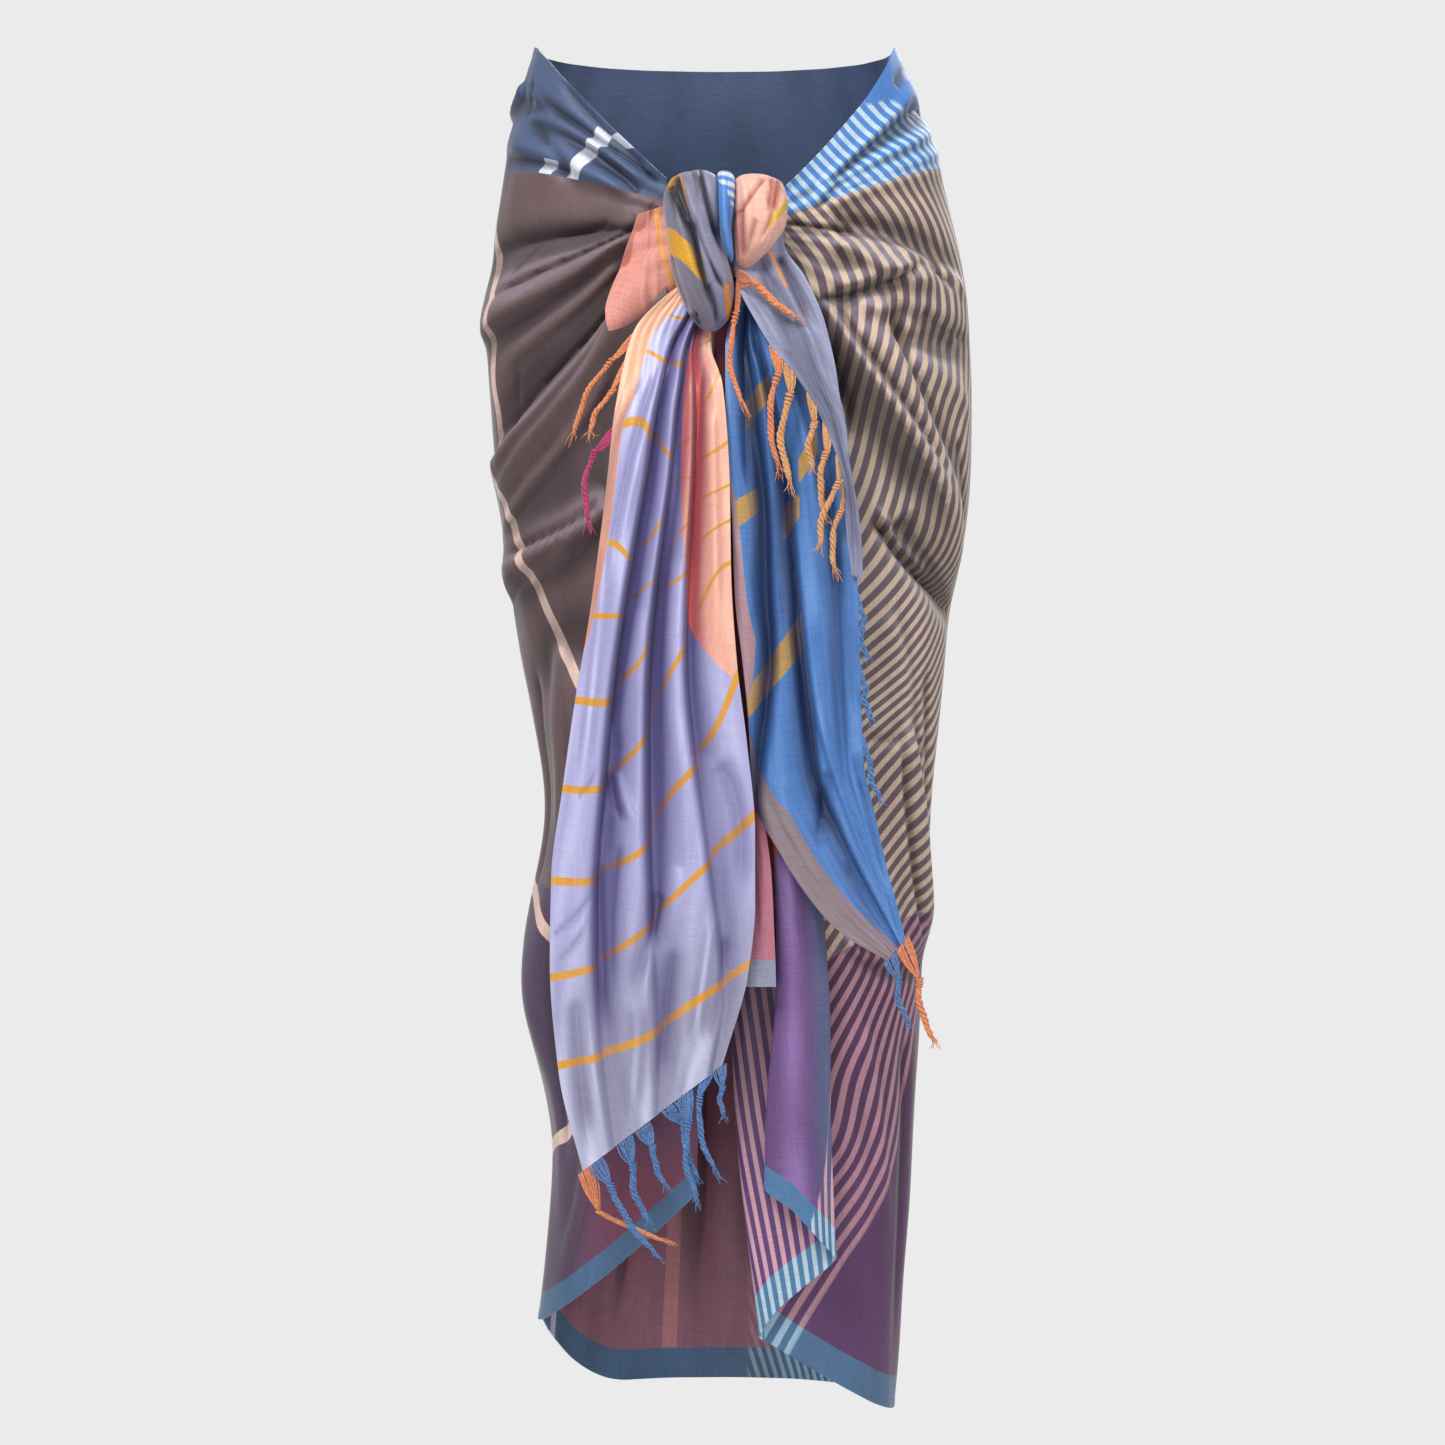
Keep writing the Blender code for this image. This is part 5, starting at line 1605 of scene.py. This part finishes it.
    def lobe(
        self, rows: Table, creases: Table, grid: tuple[int, int], slant: float
    ) -> tuple[Array, Array]:
        """A lobe as a grid of points, and how deep each lies in a crease.

        At each height it is half a superellipse, open behind, with both ends closed in a rounded cap.
        The creases and a fine slanting wave push it in and out along its own normal in plan.

        Args:
            rows: its sides and how far it stands forward, by height.
            creases: folds in millimetres across and up.
            grid: columns and rows.
            slant: how far the fine wave moves across from the top to the foot, as a share of the girth.

        Returns:
            The points and the depths.
        """
        high, low = rows["z"].max(), rows["z"].min()
        w, t = np.meshgrid(np.linspace(0, 1, grid[0]), np.linspace(0.004, 0.996, grid[1]))
        z = high + (low - high) * (t - 0.06 * np.sin(2 * np.pi * t))
        left, right = read(rows, "z", "left", z), read(rows, "z", "right", z)
        proud = read(rows, "z", "proud", z)
        middle, half = (left + right) / 2, (right - left) / 2
        close = np.sqrt(np.clip(1 - (2 * t - 1) ** 8, 0, 1))
        turn = np.pi * w
        power = 2 / 2.4
        x = middle - half * close * keep_sign(np.cos(turn), power)
        y = self.front - 0.4 - proud * close * np.sin(turn) ** power
        line = w - slant * t
        fine = np.sin(38 * line) + 0.6 * np.sin(61 * line + 1) + 0.5 * np.sin(17 * line + 4 * t)
        pushed = fold_lift(creases, x, z) + 0.22 * fine
        pushed = pushed * smooth_step(np.sin(turn) * 3) * smooth_step(4 * close)
        points = np.stack([x - pushed * np.cos(turn), y - pushed * np.sin(turn), z], axis=-1)
        return points, np.clip((-pushed - 0.3) / 2.2, 0, 1)

    def build_loop(self) -> Object:
        """The grey lobe in front of the knot, with a mustard patch and an orange selvedge.

        Returns:
            The piece.
        """
        points, deep = self.lobe(KNOT_LOOP, CREASES_LOOP, (150, 150), 0.35)
        x, z = points[..., 0], points[..., 2]
        high, low = read(LOOP_PATCH, "x", "high", x), read(LOOP_PATCH, "x", "low", x)
        inside = np.minimum(high - z, z - low)
        marks = {
            "patch": np.where((x > -9.6) | (x < -39.5), -1.0, inside),
            "top": np.minimum(2.9 - np.abs(x + 34.6 - 0.2 * (z + 74)), z + 84),
            "edge": np.minimum(1.3 - np.abs(x + 29.6 + 0.24 * (z + 76)), z + 97),
            "foot": np.minimum(2.2 - np.abs(x - 3.2 + 0.1 * (z + 158)), -150 - z),
            "deep": deep,
            "dull": 0.5 + 0.5 * np.sin(0.19 * x + 1.3 * np.sin(0.05 * z)),
        }
        dyes = (
            Dye.share("#70696f", "dull", 0.55),
            Dye("#e2a52c", (Bound("patch", soft=0.4),)),
            Dye("#e2a02c", (Bound("top", soft=0.4),)),
            Dye("#d98a3c", (Bound("edge", soft=0.4),)),
            Dye("#d98a3c", (Bound("foot", soft=0.4),)),
            # Painted shade in the creases.
            Dye.share("#15131f", "deep", 0.9),
        )
        cloth = WovenCloth("knot_grey_cotton", "#8c8ba6", dyes, roughness=0.5, sheen=0.3)
        return cloth_shell("knot_wrap", points, marks, cloth.material())

    def build_sliver(self) -> Object:
        """The narrow blue fold between the loop and the salmon lobe, with white stripes at its top.

        Returns:
            The piece.
        """
        points, deep = self.lobe(KNOT_SLIVER, CREASES_SLIVER, (50, 90), 0.1)
        x, z = points[..., 0], points[..., 2]
        edge = np.interp(z, (-94, -84, -77, -70), (6.0, 3.0, -2.0, -4.0))
        marks = {
            "stripe": (z + 70.6 + 0.25 * x) / 7.0,
            "white": np.minimum(x - edge, z + 94),
            "deep": deep,
        }
        dyes = (
            Dye("#d5e0ec", (Bound("stripe", Where.EVERY, 0.26, 0.04), Bound("white"))),
            # Painted shade in the creases.
            Dye.share("#12203f", "deep", 0.7),
        )
        cloth = WovenCloth("knot_blue_cotton", "#5a92d8", dyes)
        return cloth_shell("knot_blue_fold", points, marks, cloth.material())

    def build_lobe(self) -> Object:
        """The salmon lobe on the right of the knot, with a short mustard stripe.

        Returns:
            The piece.
        """
        points, deep = self.lobe(KNOT_LOBE, CREASES_LOBE, (100, 100), 0.3)
        x, z = points[..., 0], points[..., 2]
        marks = {
            "stripe": np.minimum(2.6 - np.abs(x - 38 - 0.85 * (z + 101)), x - 32.5),
            "deep": deep,
            "side": smooth_step((18 - x) / 12) * smooth_step((-92 - z) / 14),
        }
        dyes = (
            Dye.share("#e28f7c", "side", 0.7),
            Dye("#dcae36", (Bound("stripe"),)),
            # Painted shade in the creases.
            Dye.share("#a8452f", "deep", 0.75),
        )
        cloth = WovenCloth("knot_salmon_cotton", "#efb8a6", dyes, roughness=0.55, sheen=0.3)
        return cloth_shell("knot_salmon_fold", points, marks, cloth.material())

    def build(self) -> None:
        """Builds the crossing and the three lobes."""
        crossing = self.build_crossing()
        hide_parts("knot_core")
        for piece, node, slot, flat in (
            (self.build_loop(), "knot_loop", "cloth_grey", (0.1, 0.13)),
            (self.build_sliver(), "knot_sliver", "cloth_blue", (0.06, 0.08)),
            (self.build_lobe(), "knot_lobe", "cloth_salmon", (0.07, 0.09)),
        ):
            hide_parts(node)

    def build_crossing(self) -> Object:
        """The layers inside the knot: a rounded bundle with gathers that run across its top.

        It is a superellipsoid inside the model's block, lifted by waves that slant across it.

        Returns:
            The piece.
        """
        columns, rows = 96, 48
        w, t = np.meshgrid(np.linspace(0, 1, columns + 1), np.linspace(0.012, 0.988, rows))
        turn, rise = 2 * np.pi * w, np.pi * (t - 0.5)
        power = 2 / 3.4
        flat = np.cos(rise) ** power
        x = 42.2 * flat * keep_sign(np.cos(turn), power)
        y = 17.4 * flat * keep_sign(np.sin(turn), power)
        z = 31 * keep_sign(np.sin(rise), power)
        wave = np.sin(y / 2.1 + x / 14) + 0.7 * np.sin(y / 1.3 - x / 9 + 2)
        z = z + 0.9 * wave * smooth_step(z / 20)
        points = np.stack([x + 2.5, y - 123.5, z - 109], axis=-1)[:, :-1]
        index = np.arange(rows * columns).reshape(rows, columns)
        ahead = np.roll(index, -1, axis=1)
        quads = np.stack([index[:-1], ahead[:-1], ahead[1:], index[1:]], axis=-1).reshape(-1, 4)
        fan = np.arange(1, columns - 1, 2)
        cap = np.stack([0 * fan, fan, fan + 1, fan + 2], axis=-1) % columns
        quads = np.concatenate([quads, cap[:, ::-1], cap + (rows - 1) * columns])
        mesh = fill_mesh("knot_crossing", points.reshape(-1, 3), quads)
        uv = points.reshape(-1, 3)[:, [0, 1]]
        set_marks(mesh, {"side": points[..., 0].ravel()}, uv)
        dyes = (Dye("#77799a", (Bound("side", size=14, soft=1.0),)),)
        return place("knot_crossing", mesh, WovenCloth("knot_inner_cotton", "#6f6f88", dyes).material())


@dataclass(frozen=True)
class Threads:
    """Twisted cotton yarn: matt, with fine fibres that catch the light at its sides."""

    name: str
    colour: str
    deep: str

    def material(self) -> Material:
        """A yarn whose colour turns deeper by an uneven noise, with a fine fibre bump.

        Returns:
            The material.
        """
        material, tree = blank_material(self.name)
        # Fibres are 0.02 mm thick, so they are drawn as a noise of about 1 mm.
        at = add_node(tree, "ShaderNodeTexCoord").outputs["Object"]
        noise = add_node(tree, "ShaderNodeTexNoise", {"Vector": at, "Scale": 900.0, "Detail": 3.0})
        share = add_node(tree, "ShaderNodeMapRange", {0: noise.outputs[0], 1: 0.35, 2: 0.65})
        sockets = {0: share.outputs[0], 6: hex_linear(self.deep), 7: hex_linear(self.colour)}
        mix = add_node(tree, "ShaderNodeMix", sockets, data_type="RGBA")
        sockets = {"Strength": 0.4, "Distance": 0.0004, "Height": noise.outputs[0]}
        bump = add_node(tree, "ShaderNodeBump", sockets)
        sockets = {
            "Base Color": mix.outputs[2],
            "Roughness": 0.85,
            "Sheen Weight": 0.3,
            "Normal": bump.outputs[0],
        }
        shader = add_node(tree, "ShaderNodeBsdfPrincipled", sockets)
        add_node(tree, "ShaderNodeOutputMaterial", {0: shader.outputs[0]})
        return material


def tubes(paths: Array, radii: Array, sides: int) -> tuple[Array, Array]:
    """Round tubes along several paths at once.

    Each ring stands across its path, on the path's two normals, and each end is closed by flat quads.

    Args:
        paths: tubes by stations by x, y, z.
        radii: tubes by stations.
        sides: 4 or 6.

    Returns:
        The points and the four-cornered faces.
    """
    count, stations = paths.shape[:2]
    way = np.gradient(paths, axis=1)
    way /= np.maximum(np.linalg.norm(way, axis=-1, keepdims=True), 1e-9)
    side = np.cross(way, (0.05, 1.0, 0.02))
    side /= np.maximum(np.linalg.norm(side, axis=-1, keepdims=True), 1e-9)
    front = np.cross(side, way)
    turn = 2 * np.pi * np.arange(sides) / sides
    ring = np.cos(turn)[:, None] * side[:, :, None] + np.sin(turn)[:, None] * front[:, :, None]
    points = paths[:, :, None] + radii[:, :, None, None] * ring
    index = np.arange(count * stations * sides).reshape(count, stations, sides)
    ahead = np.roll(index, -1, axis=2)
    quads = np.stack([index[:, :-1], ahead[:, :-1], ahead[:, 1:], index[:, 1:]], axis=-1).reshape(-1, 4)
    corners = [[0, 1, 2, 3]] if sides == 4 else [[0, 1, 2, 3], [0, 3, 4, 5]]
    caps = [index[:, 0][:, corner][:, ::-1] for corner in corners]
    caps += [index[:, -1][:, corner] for corner in corners]
    return points.reshape(-1, 3), np.concatenate([quads, *caps])


@dataclass(frozen=True)
class Tassels:
    """The twisted tassels along one edge of the cloth.

    Attributes:
        name: the piece's name.
        node: the model's node that they stand for.
        rows: where each hangs and how.
        seed: sets the small differences between threads.
    """

    name: str
    node: str
    rows: Table
    seed: int

    # The yarns twisted together and the length of one turn, then the warp threads above the binding and
    # the loose ends below the foot
    PLIES = 3
    TWIST = 13.0
    FAN_THREADS = 12
    LOOSE_ENDS = 7

    def centreline(self, root: Array, row: Row, sway: float) -> Array:
        """A lock's way from its binding knot to its foot, bowed sideways and slightly wavy.

        Args:
            root: where it hangs from.
            row: its line of the table.
            sway: where its wave starts, in turns.

        Returns:
            Points along the way.
        """
        knot = root + np.array([row["knot_x"], -row["knot_out"], row["knot_z"]])
        foot = root + np.array([row["foot_x"], -row["foot_out"], row["foot_z"]])
        t = np.linspace(0, 1, 34)[:, None]
        bow = np.array([0.16 * (row["foot_z"] - row["knot_z"]), 0, 0]) * np.sin(np.pi * t)
        wave = np.array([0.8, 0.4, 0.0]) * np.sin(2 * np.pi * (1.4 * t + sway)) * np.sin(np.pi * t)
        return knot + (foot - knot) * t + bow * 0.6 + wave

    def one(
        self, root: Array, edge_way: Array, row: Row, rng: np.random.Generator
    ) -> list[tuple[Array, Array, int]]:
        """The tubes of one tassel: plies wound round its way, binding, fan and loose ends.

        Args:
            root: where it hangs from.
            edge_way: the cloth's edge there, as a direction.
            row: its line of the table.
            rng: the source of its small differences.

        Returns:
            Groups of tubes, each as paths, radii and the count of sides.
        """
        line = self.centreline(root, row, rng.random())
        length = np.linalg.norm(np.diff(line, axis=0), axis=1).sum()
        t = np.linspace(0, 1, len(line))
        starts_at = 2 * np.pi * np.arange(self.PLIES)[:, None] / self.PLIES
        spin = 2 * np.pi * (t * length / self.TWIST)[None] + starts_at
        spread = row["bulk"] * (0.20 + 0.10 * np.sin(np.pi * t) ** 2)
        across, deep = np.array([1.0, 0, 0.15]), np.array([0, 1.0, 0])
        offset = spread[None, :, None] * (np.cos(spin)[..., None] * across + np.sin(spin)[..., None] * deep)
        radius = row["bulk"] * (0.23 + 0.04 * np.sin(2 * np.pi * (3 * t + rng.random((self.PLIES, 1)))))
        radius = radius * (0.55 + 0.45 * smooth_step(t / 0.1))
        radius = radius * (0.35 + 0.65 * smooth_step((1 - t) / 0.12))
        made = [(line[None] + offset, radius, 6)]
        # The binding: a few turns of yarn round the top of the lock.
        turn = np.linspace(0, 2 * np.pi * 3, 30)
        round_it = np.stack([np.cos(turn), np.sin(turn), 0 * turn], axis=-1) * row["bulk"] * 0.42
        binding = line[1] + round_it + (line[4] - line[0]) * np.linspace(-0.5, 0.6, 30)[:, None]
        made.append((binding[None], np.full((1, 30), row["bulk"] * 0.17), 6))
        # The fan: warp threads that gather from the cloth's edge to the binding.
        starts = np.linspace(-1, 1, self.FAN_THREADS) * row["bulk"] * 1.25
        starts = starts + rng.normal(0, 0.3, self.FAN_THREADS)
        first = root + starts[:, None] * edge_way + rng.normal(0, 0.25, (self.FAN_THREADS, 3))
        last = line[0] + rng.normal(0, 0.45, (self.FAN_THREADS, 3))
        step = np.linspace(0, 1, 7)[None, :, None]
        fan = first[:, None] + (last - first)[:, None] * step
        fan = fan + (starts[:, None, None] * edge_way) * 0.35 * np.sin(np.pi * step)
        made.append((fan, np.full(fan.shape[:2], 0.55), 4))
        # Loose ends below the foot.
        tip = line[-1] - (line[-4] - line[-1]) * 0.2
        flare = rng.normal(0, 1.0, (self.LOOSE_ENDS, 3)) * np.array([3.0, 1.2, 1.5])
        flare = flare + (line[-1] - line[-5]) * rng.uniform(0.5, 1.3, (self.LOOSE_ENDS, 1))
        step = np.linspace(0, 1, 6)[None, :, None]
        bend = rng.normal(0, 1.0, (self.LOOSE_ENDS, 1, 3)) * np.sin(np.pi * step)
        loose = line[-3] + (tip - line[-3]) * step + flare[:, None] * step**1.5 + bend
        made.append((loose, 0.42 * (1 - 0.5 * step[..., 0]), 4))
        return made

    def build(self, centre: Array, palette: list[Material]) -> Object:
        """All the tassels of the edge as one piece.

        Args:
            centre: points along the cloth's edge.
            palette: the yarns, in the order of the table's dye numbers.

        Returns:
            The piece.
        """
        rng = np.random.default_rng(self.seed)
        along = np.linspace(0, 1, len(centre))
        points, quads, shades, count = [], [], [], 0
        for row in each_row(self.rows):
            near = np.clip(row["root"] + np.array([-0.08, 0, 0.08]), 0, 1)
            before, root, after = np.stack([np.interp(near, along, axis) for axis in centre.T], axis=-1)
            edge_way = (after - before) / np.linalg.norm(after - before)
            for paths, radii, sides in self.one(root, edge_way, row, rng):
                radii = np.broadcast_to(radii, paths.shape[:2])
                some, faces = tubes(paths, radii, sides)
                points.append(some)
                quads.append(faces + count)
                shades.append(np.full(len(faces), int(row["dye"])))
                count += len(some)
        mesh = fill_mesh(self.name, np.concatenate(points), np.concatenate(quads))
        shade = np.concatenate(shades)
        used = np.unique(shade)
        piece = place(self.name, mesh, *[palette[number] for number in used])
        mesh.polygons.foreach_set("material_index", np.searchsorted(used, shade).astype(np.int32))
        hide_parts(self.node)
        return piece


@dataclass(frozen=True)
class Fringes:
    """Every edge that carries tassels."""

    ends: HangingEnds

    def edge(self, end: HangingEnd, where: str, first: float, last: float) -> Array:
        """Points along one edge of an end.

        Args:
            end: the end.
            where: left, right or foot.
            first: the share of that edge where the points start.
            last: the share where they stop.

        Returns:
            The points.
        """
        share = np.linspace(first, last, 24)
        if where == "foot":
            return end.surface(share, np.ones_like(share))[0]
        return end.surface(np.full_like(share, 0.0 if where == "left" else 1.0), share)[0]

    def build(self) -> None:
        """Builds the tassels in their yarns."""
        palette = [
            Threads("yarn_blue", "#6292cb", "#335a94").material(),
            Threads("yarn_orange", "#f2a070", "#c9693a").material(),
            Threads("yarn_magenta", "#cf3d78", "#94234f").material(),
            Threads("yarn_apricot", "#ecb27c", "#c4884e").material(),
        ]
        ends = self.ends
        edges = (
            ("left_foot", TASSELS_LEFT_FOOT, ends.left, "foot", 0, 1, "threads_blue"),
            ("left_side", TASSELS_LEFT_SIDE, ends.left, "left", 0.13, 0.345, "threads_orange"),
            ("right_foot", TASSELS_RIGHT_FOOT, ends.right, "foot", 0, 1, "threads_orange"),
            ("right_side", TASSELS_RIGHT_SIDE, ends.right, "right", 0.47, 0.82, "threads_blue"),
            ("knot", TASSELS_KNOT, ends.grey, "left", 0.066, 0.2, "threads_orange"),
            ("flap", TASSELS_GREY, ends.grey, "left", 0.4, 0.87, "threads_orange"),
        )
        for seed, (name, rows, end, where, first, last, slot) in enumerate(edges, start=1):
            tassels = Tassels("tassels_" + name, "fringe_" + name, rows, seed)
            tassels.build(self.edge(end, where, first, last), palette)


# The salmon flap's orange selvedge beside the loop: heights, and where it lies across the figure
SELVEDGE_LINE = ((-172, -151, -134, -117, -98), (-29, -34.5, -40, -44.5, -47))


def build_salmon_flap(form: WornForm) -> None:
    """The salmon fold that lies on the left panel beside the knot.

    Its depth at each place is the front panel's, as a ball of 9 mm would rest on it, less a small gap
    and two low pleats.

    Args:
        form: the worn form that it lies on.
    """
    share, cloth = np.meshgrid(np.linspace(0.3, 1, 120), np.linspace(60, 300, 130))
    angle, z = form.front("left", share, cloth)
    under = form.point(angle, z)[0].reshape(-1, 3)
    under = under[(under[:, 0] > -100) & (under[:, 0] < -12) & (under[:, 2] > -214) & (under[:, 2] < -78)]
    u, v = np.meshgrid(np.linspace(0, 1, 44), np.linspace(0, 1, 60))
    flat = between_edges(FLAP_SALMON, u, v)
    off = (flat.reshape(-1, 1, 2) - under[None, :, [0, 2]]) ** 2
    depth = (under[:, 1] + off.sum(axis=-1) / 18).min(axis=1).reshape(u.shape)
    pleats = 1.1 * np.exp(-(((u - 0.45 - 0.2 * v) / 0.05) ** 2)) + 0.8 * np.exp(-(((u - 0.72) / 0.04) ** 2))
    depth = depth - 1.6 - pleats
    middle = np.stack([flat[..., 0], depth, flat[..., 1]], axis=-1)
    marks = {
        # The salmon is darker across the middle of its top.
        "turned": smooth_step(1 - v / 0.22) * smooth_step(2.2 - 3 * np.abs(u - 0.5)),
        "edge": 1.9 - np.abs(flat[..., 0] - np.interp(flat[..., 1], *SELVEDGE_LINE)),
    }
    dyes = (Dye.share("#a05a50", "turned", 0.5), Dye("#f2a860", (Bound("edge", soft=0.5),)))
    cloth_finish = WovenCloth("salmon_cotton", "#e79d90", dyes)
    piece = cloth_shell("flap_salmon_cloth", middle, marks, cloth_finish.material())
    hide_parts("flap_salmon")


@dataclass(frozen=True)
class Studio:
    """A pale room with soft light, and the camera at the photograph's place."""

    pale: str = "#ebebeb"
    floor_height: float = -1.25
    distance: float = 2.8
    camera_height: float = -0.4594
    lens: float = 93.0
    room_light: float = 0.5

    def light(self, name: str, place_at: tuple, aim: tuple, size: float, power: float) -> None:
        """A soft square light that faces a point.

        Args:
            name: the light's name.
            place_at: where it stands, in metres.
            aim: the point that it faces.
            size: the length of its side.
            power: its power in watts.
        """
        data = bpy.data.lights.new(name, "AREA")
        data.shape, data.size, data.energy = "SQUARE", size, power
        lamp = bpy.data.objects.new(name, data)
        bpy.context.scene.collection.objects.link(lamp)
        way = np.array(aim, float) - np.array(place_at, float)
        lamp.location = place_at
        across = math.hypot(way[0], way[1])
        lamp.rotation_euler = (math.pi / 2 + math.atan2(way[2], across), 0, math.atan2(-way[0], way[1]))

    def build(self) -> None:
        """Makes the camera, the floor, the light and the pale surroundings."""
        scene = bpy.context.scene
        data = bpy.data.cameras.new("camera")
        data.lens, data.sensor_width = self.lens, 36.0
        camera = bpy.data.objects.new("camera", data)
        camera.location = (0, -self.distance, self.camera_height)
        camera.rotation_euler = (math.pi / 2, 0, 0)
        scene.collection.objects.link(camera)
        scene.camera = camera
        world = bpy.data.worlds.new("pale_room")
        world.use_nodes = True
        tree = world.node_tree
        tree.nodes.clear()
        # The eye sees the pale room at full strength, and the cloth gets a softer share of it.
        path = add_node(tree, "ShaderNodeLightPath")
        sockets = {0: path.outputs["Is Camera Ray"], 3: self.room_light, 4: 1.0}
        strength = add_node(tree, "ShaderNodeMapRange", sockets)
        room = add_node(tree, "ShaderNodeBackground", {0: hex_linear(self.pale), 1: strength.outputs[0]})
        add_node(tree, "ShaderNodeOutputWorld", {0: room.outputs[0]})
        scene.world = world
        scene.view_settings.view_transform = "Standard"
        self.light("key", (-0.8, -1.9, 1.5), (0, 0, -0.35), 0.8, 48)
        self.light("side", (1.9, -1.5, 0.5), (0, 0, -0.5), 0.9, 17)
        self.light("low", (-0.6, -2.4, -0.9), (0, 0, -0.7), 1.0, 7)
        self.light("behind", (0.8, 2.2, 1.0), (0, 0, -0.4), 1.2, 34)
        # The floor is a round card, a ring of points joined to its middle.
        turn = np.linspace(0, 2 * np.pi, 65)[:-1]
        height = self.floor_height / MM
        rim = np.stack([1150 * np.cos(turn), 1150 * np.sin(turn), np.full(64, height)], axis=-1)
        centre = np.array([[0, 0, height]])
        even = np.arange(0, 64, 2)
        quads = np.stack([np.full(32, 64), even, (even + 1) % 64, (even + 2) % 64], axis=-1)
        mesh = fill_mesh("floor", np.concatenate([rim, centre]), quads)
        material = bpy.data.materials.new("pale_card")
        material.use_nodes = True
        shader = material.node_tree.nodes["Principled BSDF"]
        shader.inputs["Base Color"].default_value = hex_linear("#d9d9d9")
        shader.inputs["Roughness"].default_value = 0.9
        mesh.materials.append(material)
        floor = bpy.data.objects.new("floor", mesh)
        scene.collection.objects.link(floor)


def main() -> None:
    """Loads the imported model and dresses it."""
    logging.basicConfig(level=logging.INFO, format="%(message)s")
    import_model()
    Studio().build()
    ends = HangingEnds()
    form = WornForm()
    Knot().build()
    Wrap(form).build()
    ends.build()
    Fringes(ends).build()
    build_salmon_flap(form)


if __name__ == "__main__":
    main()
